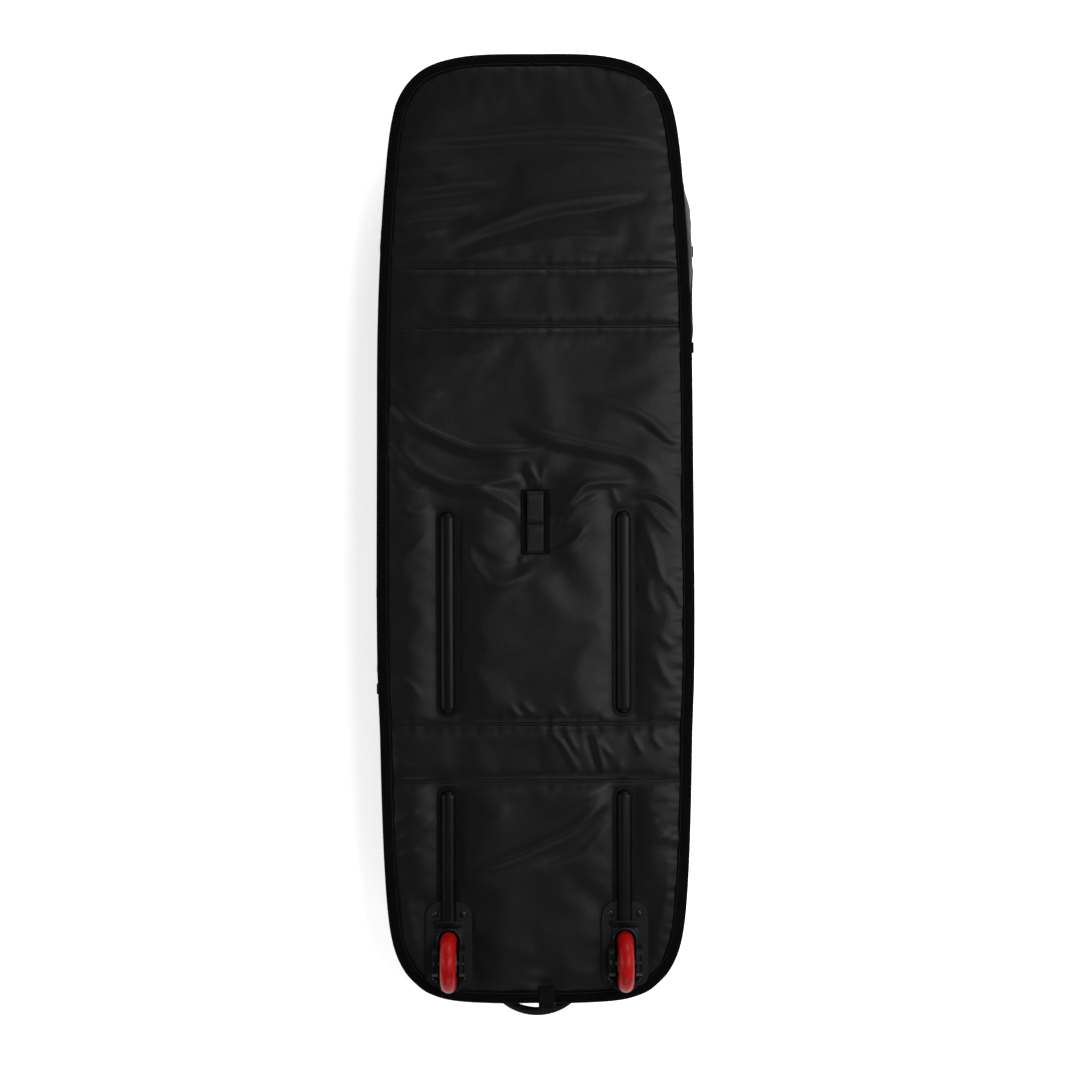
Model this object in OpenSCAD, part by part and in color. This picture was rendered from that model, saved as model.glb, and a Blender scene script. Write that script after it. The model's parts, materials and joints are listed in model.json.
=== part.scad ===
// Wheeled, padded snowboard bag: a clamshell of two padded half shells.
// The bag lies on its front panel with the wheels and skid rails up.
// X runs across the bag, Y along it towards the head end, Z up.
// The origin is the middle of the outer face of the front panel.

/* [Bag] */
// Half of the length of the two bound panels
half_len = 722; // [700:1:745]
// Outer face of the back panel above the outer face of the front panel
back_z = 158; // [150:1:175]
// Height of the zip above the outer face of the front panel
zip_z = 55; // [50:1:60]
// Width of the binding tape, seen from the back
binding_w = 19; // [14:1:24]
// Thickness of the padded gusset wall
gusset_t = 5; // [3:0.5:8]

/* [Padding] */
// Thickness of the outer fabric
skin_t = 1.6; // [1:0.2:2.4]
// Thickness of the foam
foam_t = 8; // [6:0.5:10]
// Thickness of the lining
lining_t = 1; // [0.6:0.2:1.4]
// Gap left in the foam at each fold seam
seam_gap = 5; // [3:0.5:10]

/* [Fold seams] */
// Upper pair of fold seams: the one nearer the head
fold_a = 397; // [380:1:410]
// Upper pair of fold seams: the one nearer the middle
fold_b = 307; // [295:1:320]
// Lower pair of fold seams: the one nearer the middle
fold_c = -297; // [-305:1:-292]
// Lower pair of fold seams: the one nearer the foot
fold_d = -384; // [-387:1:-370]

/* [Wheels] */
// Diameter of a wheel
wheel_d = 90; // [84:1:91]
// Width of a wheel
wheel_w = 24; // [20:1:26]
// Distance of each wheel and rail from the middle of the bag
track_x = 133.5; // [120:0.5:140]
// Position of the axles along the bag
axle_y = -655; // [-658:1:-650]
// Height of the axles above the back panel
axle_h = 20; // [18:0.5:24]

/* [Skid rails] */
// Width of a rail over its flange
rail_w = 34; // [30:1:38]
// Height of a rail
rail_h = 14; // [10:1:18]
// Length of an upper rail
rail_upper_l = 319; // [280:1:322]

/* [Handles] */
// Radius of a padded grip
grip_r = 6.5; // [5:0.5:7]
// Half of the distance between the two sleeves of a handle
grip_half = 58; // [50:1:62]
// How far the foot handle bows out
foot_sag = 25; // [18:1:32]
// How far the other handles bow out
side_sag = 32; // [24:1:36]

/* [Zip] */
// Position of the slider that closes towards the head
slider_head_y = -72; // [-75:1:-60]
// Position of the slider that closes towards the foot
slider_foot_y = -94; // [-110:1:-91]

/* [Hidden] */
$fn = 64;

EPS = 0.01;
foam_bot = back_z - skin_t - foam_t;
lining_bot = foam_bot - lining_t;
bind_bot = back_z - 7;
front_bind_top = 7.8;
coil_gap = 1.2;
coil_h = 2.3;
tape_h = 9.5;
ft_lo = zip_z - coil_gap - coil_h - tape_h;
bt_hi = zip_z + coil_gap + coil_h + tape_h;
axle_z = back_z + axle_h;
wheel_r = wheel_d / 2;
wall_x = 232;

// Edge of the bound panels on the right-hand side, from the head's middle to the foot's middle.
EDGE = [
  [0, 722], [80, 721], [130, 714], [165, 701], [190, 680], [207, 653], [216, 622], [222, 583],
  [227, 530], [231, 480], [235, 410], [238, 340], [240, 250], [241, 100], [242, -60], [242, -150],
  [241, -230], [238, -310], [236, -400], [233, -490], [229, -560], [224, -608], [216, -643],
  [203, -671], [187, -690], [164, -707], [126, -718], [64, -722], [0, -722]
];
// Outer face of the gusset, on the same side and in the same order.
WALL = [
  [0, 714], [80, 713], [128, 706], [160, 694], [184, 674], [200, 648], [209, 619], [215, 583],
  [221, 530], [227, 480], [232, 410], [232, 340], [232, 250], [232, 100], [232, -60], [232, -150],
  [232, -230], [232, -310], [229, -400], [226, -490], [222, -560], [217, -606], [209, -640],
  [197, -665], [181, -683], [158, -699], [122, -710], [62, -714], [0, -714]
];
SUB = 2;
NP = 2 * SUB * (len(EDGE) - 1);
// The walls are straight between these two steps, so the fabric hinge on the left is too.
K_HEAD = 10 * SUB;
K_FOOT = 17 * SUB;

// ---- curves ----------------------------------------------------------

function mirrored(p) = [-p[0], p[1]];
function ctrl(P, i) = i < 0 ? mirrored(P[-i]) : i >= len(P) ? mirrored(P[2 * len(P) - 2 - i]) : P[i];
function catmull(a, b, c, d, t) =
  0.5 * (2 * b + (c - a) * t + (2 * a - 5 * b + 4 * c - d) * t * t + (3 * b - a - 3 * c + d) * t * t * t);
function half_loop(P) = [
  for (i = [0:len(P) - 2]) for (s = [0:SUB - 1])
    catmull(ctrl(P, i - 1), ctrl(P, i), ctrl(P, i + 1), ctrl(P, i + 2), s / SUB)
];
function closed_loop(P) = let (h = half_loop(P), n = len(h)) concat(
  h, [P[len(P) - 1]], [for (i = [n - 1:-1:1]) mirrored(h[i])]
);
function scaled(P) = [for (p = P) [p[0], p[1] * half_len / 722]];
function unit(v) = v / norm(v);
// The loop runs clockwise seen from above, so its inward normal is on the right of its direction.
function inset(P, d) = let (n = len(P)) [
  for (i = [0:n - 1])
    let (t = unit(P[(i + 1) % n] - P[(i + n - 1) % n])) P[i] + d * [t[1], -t[0]]
];
edge_loop = closed_loop(scaled(EDGE));
wall_loop = closed_loop(scaled(WALL));

function arc_pts(c, r, a0, a1, n) = [for (i = [0:n]) let (a = a0 + (a1 - a0) * i / n) c + r * [cos(a), sin(a)]];
function stadium(w, y0, y1, n = 12) = concat(
  arc_pts([0, y1 - w / 2], w / 2, 0, 180, n), arc_pts([0, y0 + w / 2], w / 2, 180, 360, n)
);
function plate_pts(w, y0, y1, r0, r1, n = 7) = concat(
  arc_pts([w / 2 - r1, y1 - r1], r1, 0, 90, n), arc_pts([-w / 2 + r1, y1 - r1], r1, 90, 180, n),
  arc_pts([-w / 2 + r0, y0 + r0], r0, 180, 270, n), arc_pts([w / 2 - r0, y0 + r0], r0, 270, 360, n)
);

module slab(P, z0, z1) {
  translate([0, 0, z0]) linear_extrude(z1 - z0) polygon(P);
}
module ring(P, d0, d1, z0, z1) {
  a = inset(P, d0);
  b = inset(P, d1);
  n = len(P);
  translate([0, 0, z0]) linear_extrude(z1 - z0)
    polygon(concat(a, b), [[for (i = [0:n - 1]) i], [for (i = [0:n - 1]) n + i]]);
}
// A stretch of a ring between two points of its loop.
module strip(P, d0, d1, z0, z1, i0, i1) {
  a = inset(P, d0);
  b = inset(P, d1);
  n = len(P);
  translate([0, 0, z0]) linear_extrude(z1 - z0)
    polygon(concat([for (i = [i0:i1]) a[i % n]], [for (i = [i1:-1:i0]) b[i % n]]));
}
module box(lo, hi) {
  translate(lo) cube(hi - lo);
}

// ---- layers of the panels ---------------------------------------------

HOUSING_HOLES = [[21.7, 69.5], [-21.7, 69.5], [21.7, -30], [-21.7, -30]];
RAIL_LIST = [[-track_x, 32, 32 - rail_upper_l], [track_x, 32, 32 - rail_upper_l], [-track_x, -391, -594], [track_x, -391, -594]];
RAIL_HOLES = [for (r = RAIL_LIST) for (k = [0, 1])
  [r[0], k == 0 ? r[1] - 35 : max(r[2] + 35, axle_y + 89 + 12)]];

module panel_cuts(z0, z1) {
  for (s = [-1, 1]) {
    box([s * track_x - 19, axle_y - 46, z0 - 1], [s * track_x + 19, axle_y + 46, z1 + 1]);
    for (h = HOUSING_HOLES)
      translate([s * track_x + h[0], axle_y + h[1], z0 - 1]) cylinder(r = 2.5, h = z1 - z0 + 2);
  }
  for (h = RAIL_HOLES) translate([h[0], h[1], z0 - 1]) cylinder(r = 2.1, h = z1 - z0 + 2);
}
module back_skin() {
  color([0.12, 0.12, 0.125]) difference() {
    slab(inset(edge_loop, binding_w), back_z - skin_t, back_z);
    panel_cuts(back_z - skin_t, back_z);
  }
}
module back_lining() {
  color([0.3, 0.3, 0.32]) difference() {
    slab(inset(edge_loop, binding_w + 1), lining_bot, foam_bot);
    panel_cuts(lining_bot, foam_bot);
  }
}
module foam_pad(y0, y1, z0, cut = false) {
  color([0.75, 0.75, 0.72]) difference() {
    intersection() {
      slab(inset(edge_loop, binding_w + 1), z0, back_z - skin_t);
      box([-300, y0, z0 - 1], [300, y1, back_z]);
    }
    panel_cuts(z0, back_z);
  }
}
module foot_stiffener() {
  color([0.86, 0.86, 0.84]) difference() {
    intersection() {
      slab(inset(edge_loop, binding_w + 14), foam_bot, foam_bot + 2);
      box([-300, -800, foam_bot - 1], [300, fold_d - 14, back_z]);
    }
    panel_cuts(foam_bot, foam_bot + 2);
  }
}
module binding(z0, z1) {
  color([0.03, 0.03, 0.03]) ring(edge_loop, 0, binding_w, z0, z1);
}
module gusset(z0, z1, i0, i1) {
  color([0.11, 0.11, 0.115]) strip(wall_loop, 0, gusset_t, z0, z1, i0, i1);
}
// Relief for the two wheel tubs, down to y1 at the foot
module tub_relief(y1) {
  for (s = [-1, 1]) box([s * track_x - 19, y1, 125], [s * track_x + 19, axle_y, back_z + 1]);
}
module back_binding() {
  difference() {
    binding(bind_bot, back_z);
    tub_relief(axle_y - 46);
  }
}
module back_gusset_foot() {
  difference() {
    gusset(bt_hi, bind_bot, K_FOOT, NP - K_FOOT);
    tub_relief(axle_y - 42.5);
  }
}
module front_skin() {
  color([0.12, 0.12, 0.125]) slab(inset(edge_loop, binding_w), 0, skin_t);
}
module front_foam_pads() {
  color([0.75, 0.75, 0.72])
    for (p = [[fold_a, 800], [fold_b, fold_a], [fold_c, fold_b], [fold_d, fold_c], [-800, fold_d]])
      intersection() {
        slab(inset(edge_loop, binding_w + 1), skin_t, skin_t + foam_t);
        box([-300, p[0] + seam_gap / 2, 0], [300, p[1] - seam_gap / 2, 20]);
      }
}
module front_lining() {
  color([0.3, 0.3, 0.32]) slab(inset(edge_loop, binding_w + 1), skin_t + foam_t, skin_t + foam_t + lining_t);
}

// ---- zip --------------------------------------------------------------

ZI0 = NP - K_HEAD;
ZI1 = NP + NP - K_FOOT;
module zip_tape(z0, z1) {
  color([0.05, 0.05, 0.05]) strip(wall_loop, 1.5, 3.1, z0, z1, ZI0, ZI1);
}
module zip_coil(z0, z1) {
  color([0.08, 0.08, 0.08]) strip(wall_loop, 0.9, 3.7, z0, z1, ZI0, ZI1);
}
PIVOT_X = wall_x + 4.2;
// The slider straddles both rows of teeth. Its post runs in the gap between them.
module zip_slider(y) {
  color([0.16, 0.16, 0.17]) translate([0, y, zip_z]) {
    difference() {
      union() {
        translate([wall_x - 0.3, 0, 0]) rotate([0, 90, 0])
          linear_extrude(2) polygon(plate_pts(13, -8, 8, 3.5, 3.5, 5));
        box([wall_x + 1.5, -3, -2.4], [wall_x + 6.4, 3, 2.4]);
      }
      translate([PIVOT_X, 0, -4]) cylinder(r = 1.3, h = 8);
    }
    translate([wall_x - 6.3, 0, 0]) rotate([0, 90, 0])
      linear_extrude(2) polygon(plate_pts(13, -8, 8, 3.5, 3.5, 5));
    box([wall_x - 4.5, -2, -0.9], [wall_x, 2, 0.9]);
  }
}
// The tab turns on a pin through the slider's bridge. s is 1 for a tab that lies towards the head.
module zip_puller(y, s) {
  color([0.2, 0.2, 0.21]) translate([PIVOT_X, y, zip_z]) {
    translate([0, 0, -4.6]) cylinder(r = 1.2, h = 9.2);
    for (k = [-1, 1]) box([-0.9, s > 0 ? -1.6 : -8, k > 0 ? 2.8 : -4.6], [0.9, s > 0 ? 8 : 1.6, k > 0 ? 4.6 : -2.8]);
    difference() {
      box([-0.9, s > 0 ? 5 : -24, -4.6], [0.9, s > 0 ? 24 : -5, 4.6]);
      box([-2, s > 0 ? 15 : -20, -3], [2, s > 0 ? 20 : -15, 3]);
    }
  }
  color([0.04, 0.04, 0.04]) translate([PIVOT_X, y, zip_z])
    difference() {
      box([-2, s > 0 ? 17 : -52, -2.8], [2, s > 0 ? 52 : -17, 2.8]);
      box([-1.1, s > 0 ? 16 : -24.2, -5], [1.1, s > 0 ? 24.2 : -16, 5]);
    }
}

// ---- skid rails ---------------------------------------------------------

// Half of the rail's section, from its middle outwards.
RAIL_SECTION = [[0, 0], [rail_w / 2 - 5.5, 0], [rail_w / 2 - 6, rail_h - 7], [rail_w / 2 - 7, rail_h - 4],
  [rail_w / 2 - 9, rail_h - 1.6], [rail_w / 2 - 11.5, rail_h - 0.4], [rail_w / 2 - 13.5, rail_h], [0, rail_h]];
module rail_body(y0, y1, r0 = true) {
  m = concat(RAIL_SECTION, [for (i = [len(RAIL_SECTION) - 2:-1:1]) [-RAIL_SECTION[i][0], RAIL_SECTION[i][1]]]);
  rr = rail_w / 2;
  translate([0, y0 + (r0 ? rr : 0), 0]) rotate([90, 0, 180])
    linear_extrude(y1 - rr - y0 - (r0 ? rr : 0)) polygon(m);
  translate([0, y1 - rr, 0]) rotate([0, 0, 0]) rotate_extrude(angle = 180) polygon(RAIL_SECTION);
  if (r0) translate([0, y0 + rr, 0]) rotate([0, 0, 180]) rotate_extrude(angle = 180) polygon(RAIL_SECTION);
}
module rail_upper(x) {
  color([0.1, 0.1, 0.105]) translate([x, 0, back_z]) difference() {
    union() {
      slab(concat(arc_pts([0, 32 - rail_w / 2], rail_w / 2, 0, 180, 14), arc_pts([0, 32 - rail_upper_l + rail_w / 2], rail_w / 2, 180, 360, 14)), 0, 2);
      rail_body(32 - rail_upper_l, 32);
    }
    for (h = RAIL_HOLES) if (h[1] > -350) translate([0, h[1], -1]) cylinder(r = 2.1, h = 9.5);
  }
}
module rail_lower(x) {
  color([0.1, 0.1, 0.105]) translate([x, 0, back_z]) difference() {
    union() {
      slab(concat(arc_pts([0, -391 - rail_w / 2], rail_w / 2, 0, 180, 14), [[-rail_w / 2, axle_y + 89], [rail_w / 2, axle_y + 89]]), 0, 2);
      rail_body(-594, -391, false);
    }
    translate([0, axle_y, -1]) linear_extrude(5) polygon(plate_pts(71, -41, 89.2, 17, 24));
    for (h = RAIL_HOLES) if (h[1] < -350) translate([0, h[1], -1]) cylinder(r = 2.1, h = 9.5);
  }
}
module rail_screws() {
  color([0.55, 0.55, 0.57]) for (h = RAIL_HOLES) translate([h[0], h[1], 0]) {
    translate([0, 0, lining_bot - 2.2]) cylinder(r = 5, h = 2.2);
    translate([0, 0, lining_bot - 0.2]) cylinder(r = 2, h = back_z + 8 - lining_bot + 0.2);
  }
}

// ---- wheel housings -------------------------------------------------------

CHEEK = [[-23, 0], [-22, axle_h - 2], [-19.5, axle_h + 5], [-15, axle_h + 9.2], [-10, axle_h + 10.5],
  [10, axle_h + 10.5], [15, axle_h + 9.2], [19.5, axle_h + 5], [22, axle_h - 2], [23, 0]];
// Side profile of the collar round the slot, which rises at the head end to meet the lower rail.
COLLAR = [[-32, 0], [-30, 5.5], [48.5, 5.5], [59, rail_h], [60.8, rail_h], [60.8, 0]];
module wheel_housing(x) {
  color([0.09, 0.09, 0.095]) translate([x, axle_y, back_z]) difference() {
    union() {
      // Plate, with a rounded lip round the foot end of the slot
      linear_extrude(4) polygon(plate_pts(70, -40, 89, 17, 24));
      linear_extrude(4) polygon(stadium(42, -51, 54));
      // Collar with its ramp, and a raised lip round the arch of the slot
      translate([-20, 0, 0]) rotate([90, 0, 90]) linear_extrude(40) polygon(COLLAR);
      linear_extrude(8.6) polygon(stadium(37, -26, 49.7));
      // Cheeks that carry the axle
      for (s = [-1, 1]) translate([s > 0 ? 16 : -25, 0, 0]) rotate([90, 0, 90]) linear_extrude(9) polygon(CHEEK);
      // Half-round tub that the wheel sinks into
      intersection() {
        translate([-18.5, 0, axle_h]) rotate([0, 90, 0]) cylinder(r = 49.5, h = 37);
        box([-30, -60, -60], [30, 60, 0.5]);
      }
    }
    intersection() {
      translate([-16, 0, axle_h]) rotate([0, 90, 0]) cylinder(r = 47, h = 32);
      box([-17, -50, -60], [17, 50, 0]);
    }
    translate([0, 0, -0.5]) linear_extrude(45) polygon(stadium(32, -47.2, 47.2));
    // Pockets in the tops of the cheeks, over the ends of the axle
    for (s = [-1, 1]) box([s > 0 ? 17.6 : -23.6, -14, axle_h + 6.5], [s > 0 ? 23.6 : -17.6, 14, axle_h + 12]);
    translate([-30, 0, axle_h]) rotate([0, 90, 0]) cylinder(r = 4.1, h = 60);
    for (s = [-1, 1]) translate([s > 0 ? 20.5 : -30, 0, axle_h]) rotate([0, 90, 0]) cylinder(r = 7.4, h = 9.5);
    for (h = HOUSING_HOLES) translate([h[0], h[1], 0]) {
      translate([0, 0, -1]) cylinder(r = 2.5, h = 6);
      translate([0, 0, 2.4]) cylinder(r = 5.4, h = 4);
    }
  }
}
module housing_screws(x) {
  color([0.25, 0.25, 0.26]) for (h = HOUSING_HOLES) translate([x + h[0], axle_y + h[1], back_z]) difference() {
    union() {
      translate([0, 0, 2.4]) cylinder(r = 4.3, h = 1.4);
      translate([0, 0, 3.8]) cylinder(r1 = 4.3, r2 = 2.6, h = 1.3);
      translate([0, 0, -17]) cylinder(r = 2.4, h = 19.5);
    }
    translate([0, 0, 3.4]) cylinder(r = 1.7, h = 3, $fn = 6);
  }
}
module backing_plate(x) {
  color([0.5, 0.5, 0.52]) translate([x, axle_y, lining_bot - 3]) difference() {
    linear_extrude(3) polygon(plate_pts(70, -38, 89, 17, 24));
    box([-18.8, -46, -1], [18.8, 46, 4]);
    for (h = HOUSING_HOLES) translate([h[0], h[1], -1]) cylinder(r = 2.5, h = 5);
  }
}
module axle_bolt(x) {
  color([0.75, 0.75, 0.76]) translate([x, axle_y, axle_z]) rotate([0, 90, 0]) difference() {
    union() {
      translate([0, 0, -24.5]) cylinder(r = 4, h = 49);
      translate([0, 0, -24.5]) cylinder(r = 6.8, h = 4);
    }
    translate([0, 0, -25]) cylinder(r = 2.9, h = 3, $fn = 6);
  }
}
module axle_nut(x) {
  color([0.75, 0.75, 0.76]) translate([x, axle_y, axle_z]) rotate([0, 90, 0]) difference() {
    translate([0, 0, 20.5]) cylinder(r = 7.1, h = 3.6, $fn = 6);
    translate([0, 0, 20]) cylinder(r = 4.05, h = 6);
  }
}

// ---- wheels ---------------------------------------------------------------

hub_r = 27;
module about_axle(x) {
  translate([x, axle_y, axle_z]) rotate([0, 90, 0]) children();
}
module tyre(x) {
  w = wheel_w / 2;
  color([0.62, 0.02, 0.04]) about_axle(x) rotate_extrude() polygon(concat(
    [[hub_r, -w + 3.5], [hub_r + 3, -w + 1.2], [wheel_r - 12, -w]],
    [for (i = [0:16]) let (a = -90 + 180 * i / 16) [wheel_r - 12 + 12 * cos(a), w * sin(a)]],
    [[hub_r + 3, w - 1.2], [hub_r, w - 3.5]]
  ));
}
module hub(x) {
  w = wheel_w / 2;
  color([0.12, 0.12, 0.12]) about_axle(x) difference() {
    rotate_extrude() polygon([
      [11.05, -w], [14.5, -w], [14.5, -6], [22.5, -6], [22.5, -w + 3.5], [hub_r, -w + 3.5],
      [hub_r, w - 3.5], [22.5, w - 3.5], [22.5, 6], [14.5, 6], [14.5, w], [11.05, w],
      [11.05, w - 7.1], [9.2, w - 7.1], [9.2, -w + 7.1], [11.05, -w + 7.1]
    ]);
    for (i = [0:5]) rotate([0, 0, 60 * i]) translate([18.5, 0, -20]) cylinder(r = 3, h = 40);
  }
}
module bearings(x) {
  color([0.8, 0.8, 0.8]) about_axle(x) for (s = [-1, 1]) translate([0, 0, s > 0 ? wheel_w / 2 - 7 : -wheel_w / 2])
    rotate_extrude() polygon([[4.05, 0], [6.4, 0], [6.4, 0.7], [9.2, 0.7], [9.2, 0], [11, 0], [11, 7], [9.2, 7], [9.2, 6.3], [6.4, 6.3], [6.4, 7], [4.05, 7]]);
}
module bearing_spacer(x) {
  color([0.7, 0.7, 0.7]) about_axle(x) translate([0, 0, -wheel_w / 2 + 7.05]) rotate_extrude() translate([4.05, 0]) square([2, wheel_w - 14.1]);
}

// ---- webbing and keeper -----------------------------------------------------

KEEP_Y = 10;
module keeper_base() {
  color([0.03, 0.03, 0.03]) translate([0, KEEP_Y, back_z]) slab(plate_pts(44, -49.5, 49.5, 4, 4, 3), 0, 1.6);
}
module keeper_webbing() {
  color([0.1, 0.1, 0.105]) translate([0, KEEP_Y, back_z + 1.6]) rotate([90, 0, 90]) translate([0, 0, -12.5])
    linear_extrude(25) polygon([[-48, 0], [-2, 0], [-2, 1.8], [-12, 2.6], [-30, 2.6], [-44, 1.4], [-48, 0.8]]);
}
FLAP_Y = KEEP_Y + 45;
FLAP_Z = back_z + 4.1;
module keeper_flap() {
  color([0.09, 0.09, 0.095]) translate([-12.5, FLAP_Y, FLAP_Z]) rotate([90, 0, 90]) linear_extrude(25)
    polygon([[-1.6, -1.7], [1.6, -1.7], [2.2, 0], [1.4, 1.6], [-1.6, 2.2], [-20, 2.8], [-44, 2], [-47, 1.6], [-47, 0.9], [-8, 0.9], [-3.4, -0.2]]);
}
module foot_pull_tab() {
  color([0.06, 0.06, 0.065]) translate([2, 0, 0]) rotate([90, 0, 90]) linear_extrude(25) polygon([
    [-696, back_z], [-723, back_z], [-723, bind_bot - 0.4], [-715.5, bind_bot - 0.4], [-715.5, bind_bot - 2.4],
    [-730, bind_bot - 2.4], [-731, bind_bot - 1], [-731, back_z + 1], [-730, back_z + 2.2], [-697, back_z + 2.2]
  ]);
}

// ---- handles ------------------------------------------------------------------

AX = 8; // Distance of a handle's axis from the gusset wall
ANCHOR_Z = 116;
FOOT_Z = 105;
// Each placement: middle of the axis, and the turn about Z that points the handle away from the bag.
H_FOOT = [[0, -714 - AX, FOOT_Z], 180];
H_HEAD = [[0, 714 + AX, ANCHOR_Z], 0];
H_LEFT = [[-wall_x - AX, -172, ANCHOR_Z], 90];
H_RIGHT = [[wall_x + AX, 352, ANCHOR_Z], -90];
module placed(h) {
  translate(h[0]) rotate([0, 0, h[1]]) children();
}
// A grip in its own frame: its axis runs along X and it bows out along +Y, or down when drop is true.
module grip(sag, drop) {
  rc = (grip_half * grip_half + sag * sag) / (2 * sag);
  phi = asin(grip_half / rc);
  color([0.04, 0.04, 0.04]) rotate([drop ? -90 : 0, 0, 0]) {
    translate([0, sag - rc, 0]) rotate([0, 0, 90 - phi]) rotate_extrude(angle = 2 * phi) translate([rc, 0]) circle(r = grip_r);
    for (s = [-1, 1]) {
      translate([s * grip_half, 0, 0]) rotate([0, 90, 0]) sphere(r = grip_r + 0.8);
      translate([s > 0 ? grip_half + 1 : -grip_half - 25, 0, 0]) rotate([0, 90, 0]) cylinder(r = 3.5, h = 24);
    }
  }
}
// A folded webbing sleeve on a sewn patch, one at each end of a handle.
module anchors() {
  color([0.05, 0.05, 0.05]) for (s = [-1, 1]) translate([s > 0 ? grip_half + 8 : -grip_half - 24, 0, 0]) difference() {
    union() {
      box([-1, -AX + 0.3, -14], [18, -AX + 2.2, 14]);
      box([0, -AX + 1, -5.6], [16, 0, 5.6]);
      rotate([0, 90, 0]) cylinder(r = 5.6, h = 16);
    }
    translate([-5, 0, 0]) rotate([0, 90, 0]) cylinder(r = 3.58, h = 30);
  }
}

// ---- nodes ----------------------------------------------------------------------

front_skin();
front_foam_pads();
front_lining();
binding(0.8, front_bind_top);  // front_binding
gusset(front_bind_top, zip_z - 0.3, NP - K_FOOT, NP - K_HEAD);  // front_gusset_left
gusset(front_bind_top, ft_lo, K_HEAD, K_FOOT);  // front_gusset_right
gusset(front_bind_top, ft_lo, NP - K_HEAD, NP + K_HEAD);  // front_gusset_head
gusset(front_bind_top, ft_lo, K_FOOT, NP - K_FOOT);  // front_gusset_foot
zip_tape(ft_lo, ft_lo + tape_h);  // zip_tape_front
zip_coil(ft_lo + tape_h, ft_lo + tape_h + coil_h);  // zip_coil_front
back_skin();
foam_pad(fold_a + seam_gap / 2, 800, foam_bot);  // foam_head
foam_pad(fold_b + seam_gap / 2, fold_a - seam_gap / 2, foam_bot);  // foam_spine_upper
foam_pad(fold_c + seam_gap / 2, fold_b - seam_gap / 2, foam_bot);  // foam_middle
foam_pad(fold_d + seam_gap / 2, fold_c - seam_gap / 2, foam_bot);  // foam_spine_lower
foam_pad(-800, fold_d - seam_gap / 2, foam_bot + 2);  // foam_foot
foot_stiffener();
back_lining();
back_binding();
gusset(zip_z + 0.3, bind_bot, NP - K_FOOT, NP - K_HEAD);  // back_gusset_left
gusset(bt_hi, bind_bot, K_HEAD, K_FOOT);  // back_gusset_right
gusset(bt_hi, bind_bot, NP - K_HEAD, NP + K_HEAD);  // back_gusset_head
back_gusset_foot();
zip_tape(bt_hi - tape_h, bt_hi);  // zip_tape_back
zip_coil(bt_hi - tape_h - coil_h, bt_hi - tape_h);  // zip_coil_back
rail_upper(-track_x);  // rail_upper_left
rail_upper(track_x);  // rail_upper_right
rail_lower(-track_x);  // rail_lower_left
rail_lower(track_x);  // rail_lower_right
rail_screws();
wheel_housing(-track_x);  // wheel_housing_left
wheel_housing(track_x);  // wheel_housing_right
for (s = [-1, 1]) housing_screws(s * track_x);
backing_plate(-track_x);  // backing_plate_left
backing_plate(track_x);  // backing_plate_right
axle_bolt(-track_x);  // axle_bolt_left
axle_bolt(track_x);  // axle_bolt_right
for (s = [-1, 1]) axle_nut(s * track_x);  // axle_nuts
tyre(-track_x);  // tyre_left
tyre(track_x);  // tyre_right
hub(-track_x);  // hub_left
hub(track_x);  // hub_right
bearings(-track_x);  // bearings_left
bearings(track_x);  // bearings_right
for (s = [-1, 1]) bearing_spacer(s * track_x);  // bearing_spacers
keeper_base();
keeper_webbing();
keeper_flap();
foot_pull_tab();
for (h = [H_FOOT, H_HEAD, H_LEFT, H_RIGHT]) placed(h) anchors();  // handle_anchors
placed(H_FOOT) grip(foot_sag, false);  // grip_foot
placed(H_HEAD) grip(side_sag, true);  // grip_head
placed(H_LEFT) grip(side_sag, true);  // grip_left
placed(H_RIGHT) grip(side_sag, true);  // grip_right
zip_slider(slider_head_y);  // zip_slider_head
zip_slider(slider_foot_y);  // zip_slider_foot
zip_puller(slider_head_y, 1);  // zip_puller_head
zip_puller(slider_foot_y, -1);  // zip_puller_foot
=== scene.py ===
import json
import math
import bmesh
import bpy
import numpy as np
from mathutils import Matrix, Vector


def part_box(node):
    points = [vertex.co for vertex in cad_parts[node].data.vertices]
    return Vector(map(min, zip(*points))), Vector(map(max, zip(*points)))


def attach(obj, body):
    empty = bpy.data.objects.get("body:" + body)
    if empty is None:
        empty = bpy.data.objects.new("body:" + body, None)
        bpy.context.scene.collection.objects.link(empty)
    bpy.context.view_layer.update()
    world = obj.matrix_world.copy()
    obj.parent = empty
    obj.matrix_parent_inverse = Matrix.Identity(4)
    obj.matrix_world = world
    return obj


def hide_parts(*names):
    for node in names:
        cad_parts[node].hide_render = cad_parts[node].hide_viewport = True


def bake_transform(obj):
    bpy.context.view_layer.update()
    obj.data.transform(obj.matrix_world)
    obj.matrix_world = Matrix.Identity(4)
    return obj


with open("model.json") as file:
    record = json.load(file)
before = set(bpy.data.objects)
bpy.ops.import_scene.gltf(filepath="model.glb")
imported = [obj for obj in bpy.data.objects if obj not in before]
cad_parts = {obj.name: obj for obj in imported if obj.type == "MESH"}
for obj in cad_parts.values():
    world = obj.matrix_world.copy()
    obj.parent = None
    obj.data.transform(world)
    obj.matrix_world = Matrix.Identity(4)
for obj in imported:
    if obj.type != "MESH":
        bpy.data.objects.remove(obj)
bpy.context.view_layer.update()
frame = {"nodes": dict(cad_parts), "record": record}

scene = bpy.context.scene
NODES = frame["nodes"]
BODY_OF = {n: b for b, ns in frame["record"]["behaviour"]["bodies"].items() for n in ns}
MM = 0.001
BACK_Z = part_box("back_skin")[1].z / MM
BIND_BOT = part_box("back_binding")[0].z / MM
ZIP_Z = 55.0
TRACK = 133.5
AXLE_Y = -655.0

# ---- camera, floor and light -------------------------------------------

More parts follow.
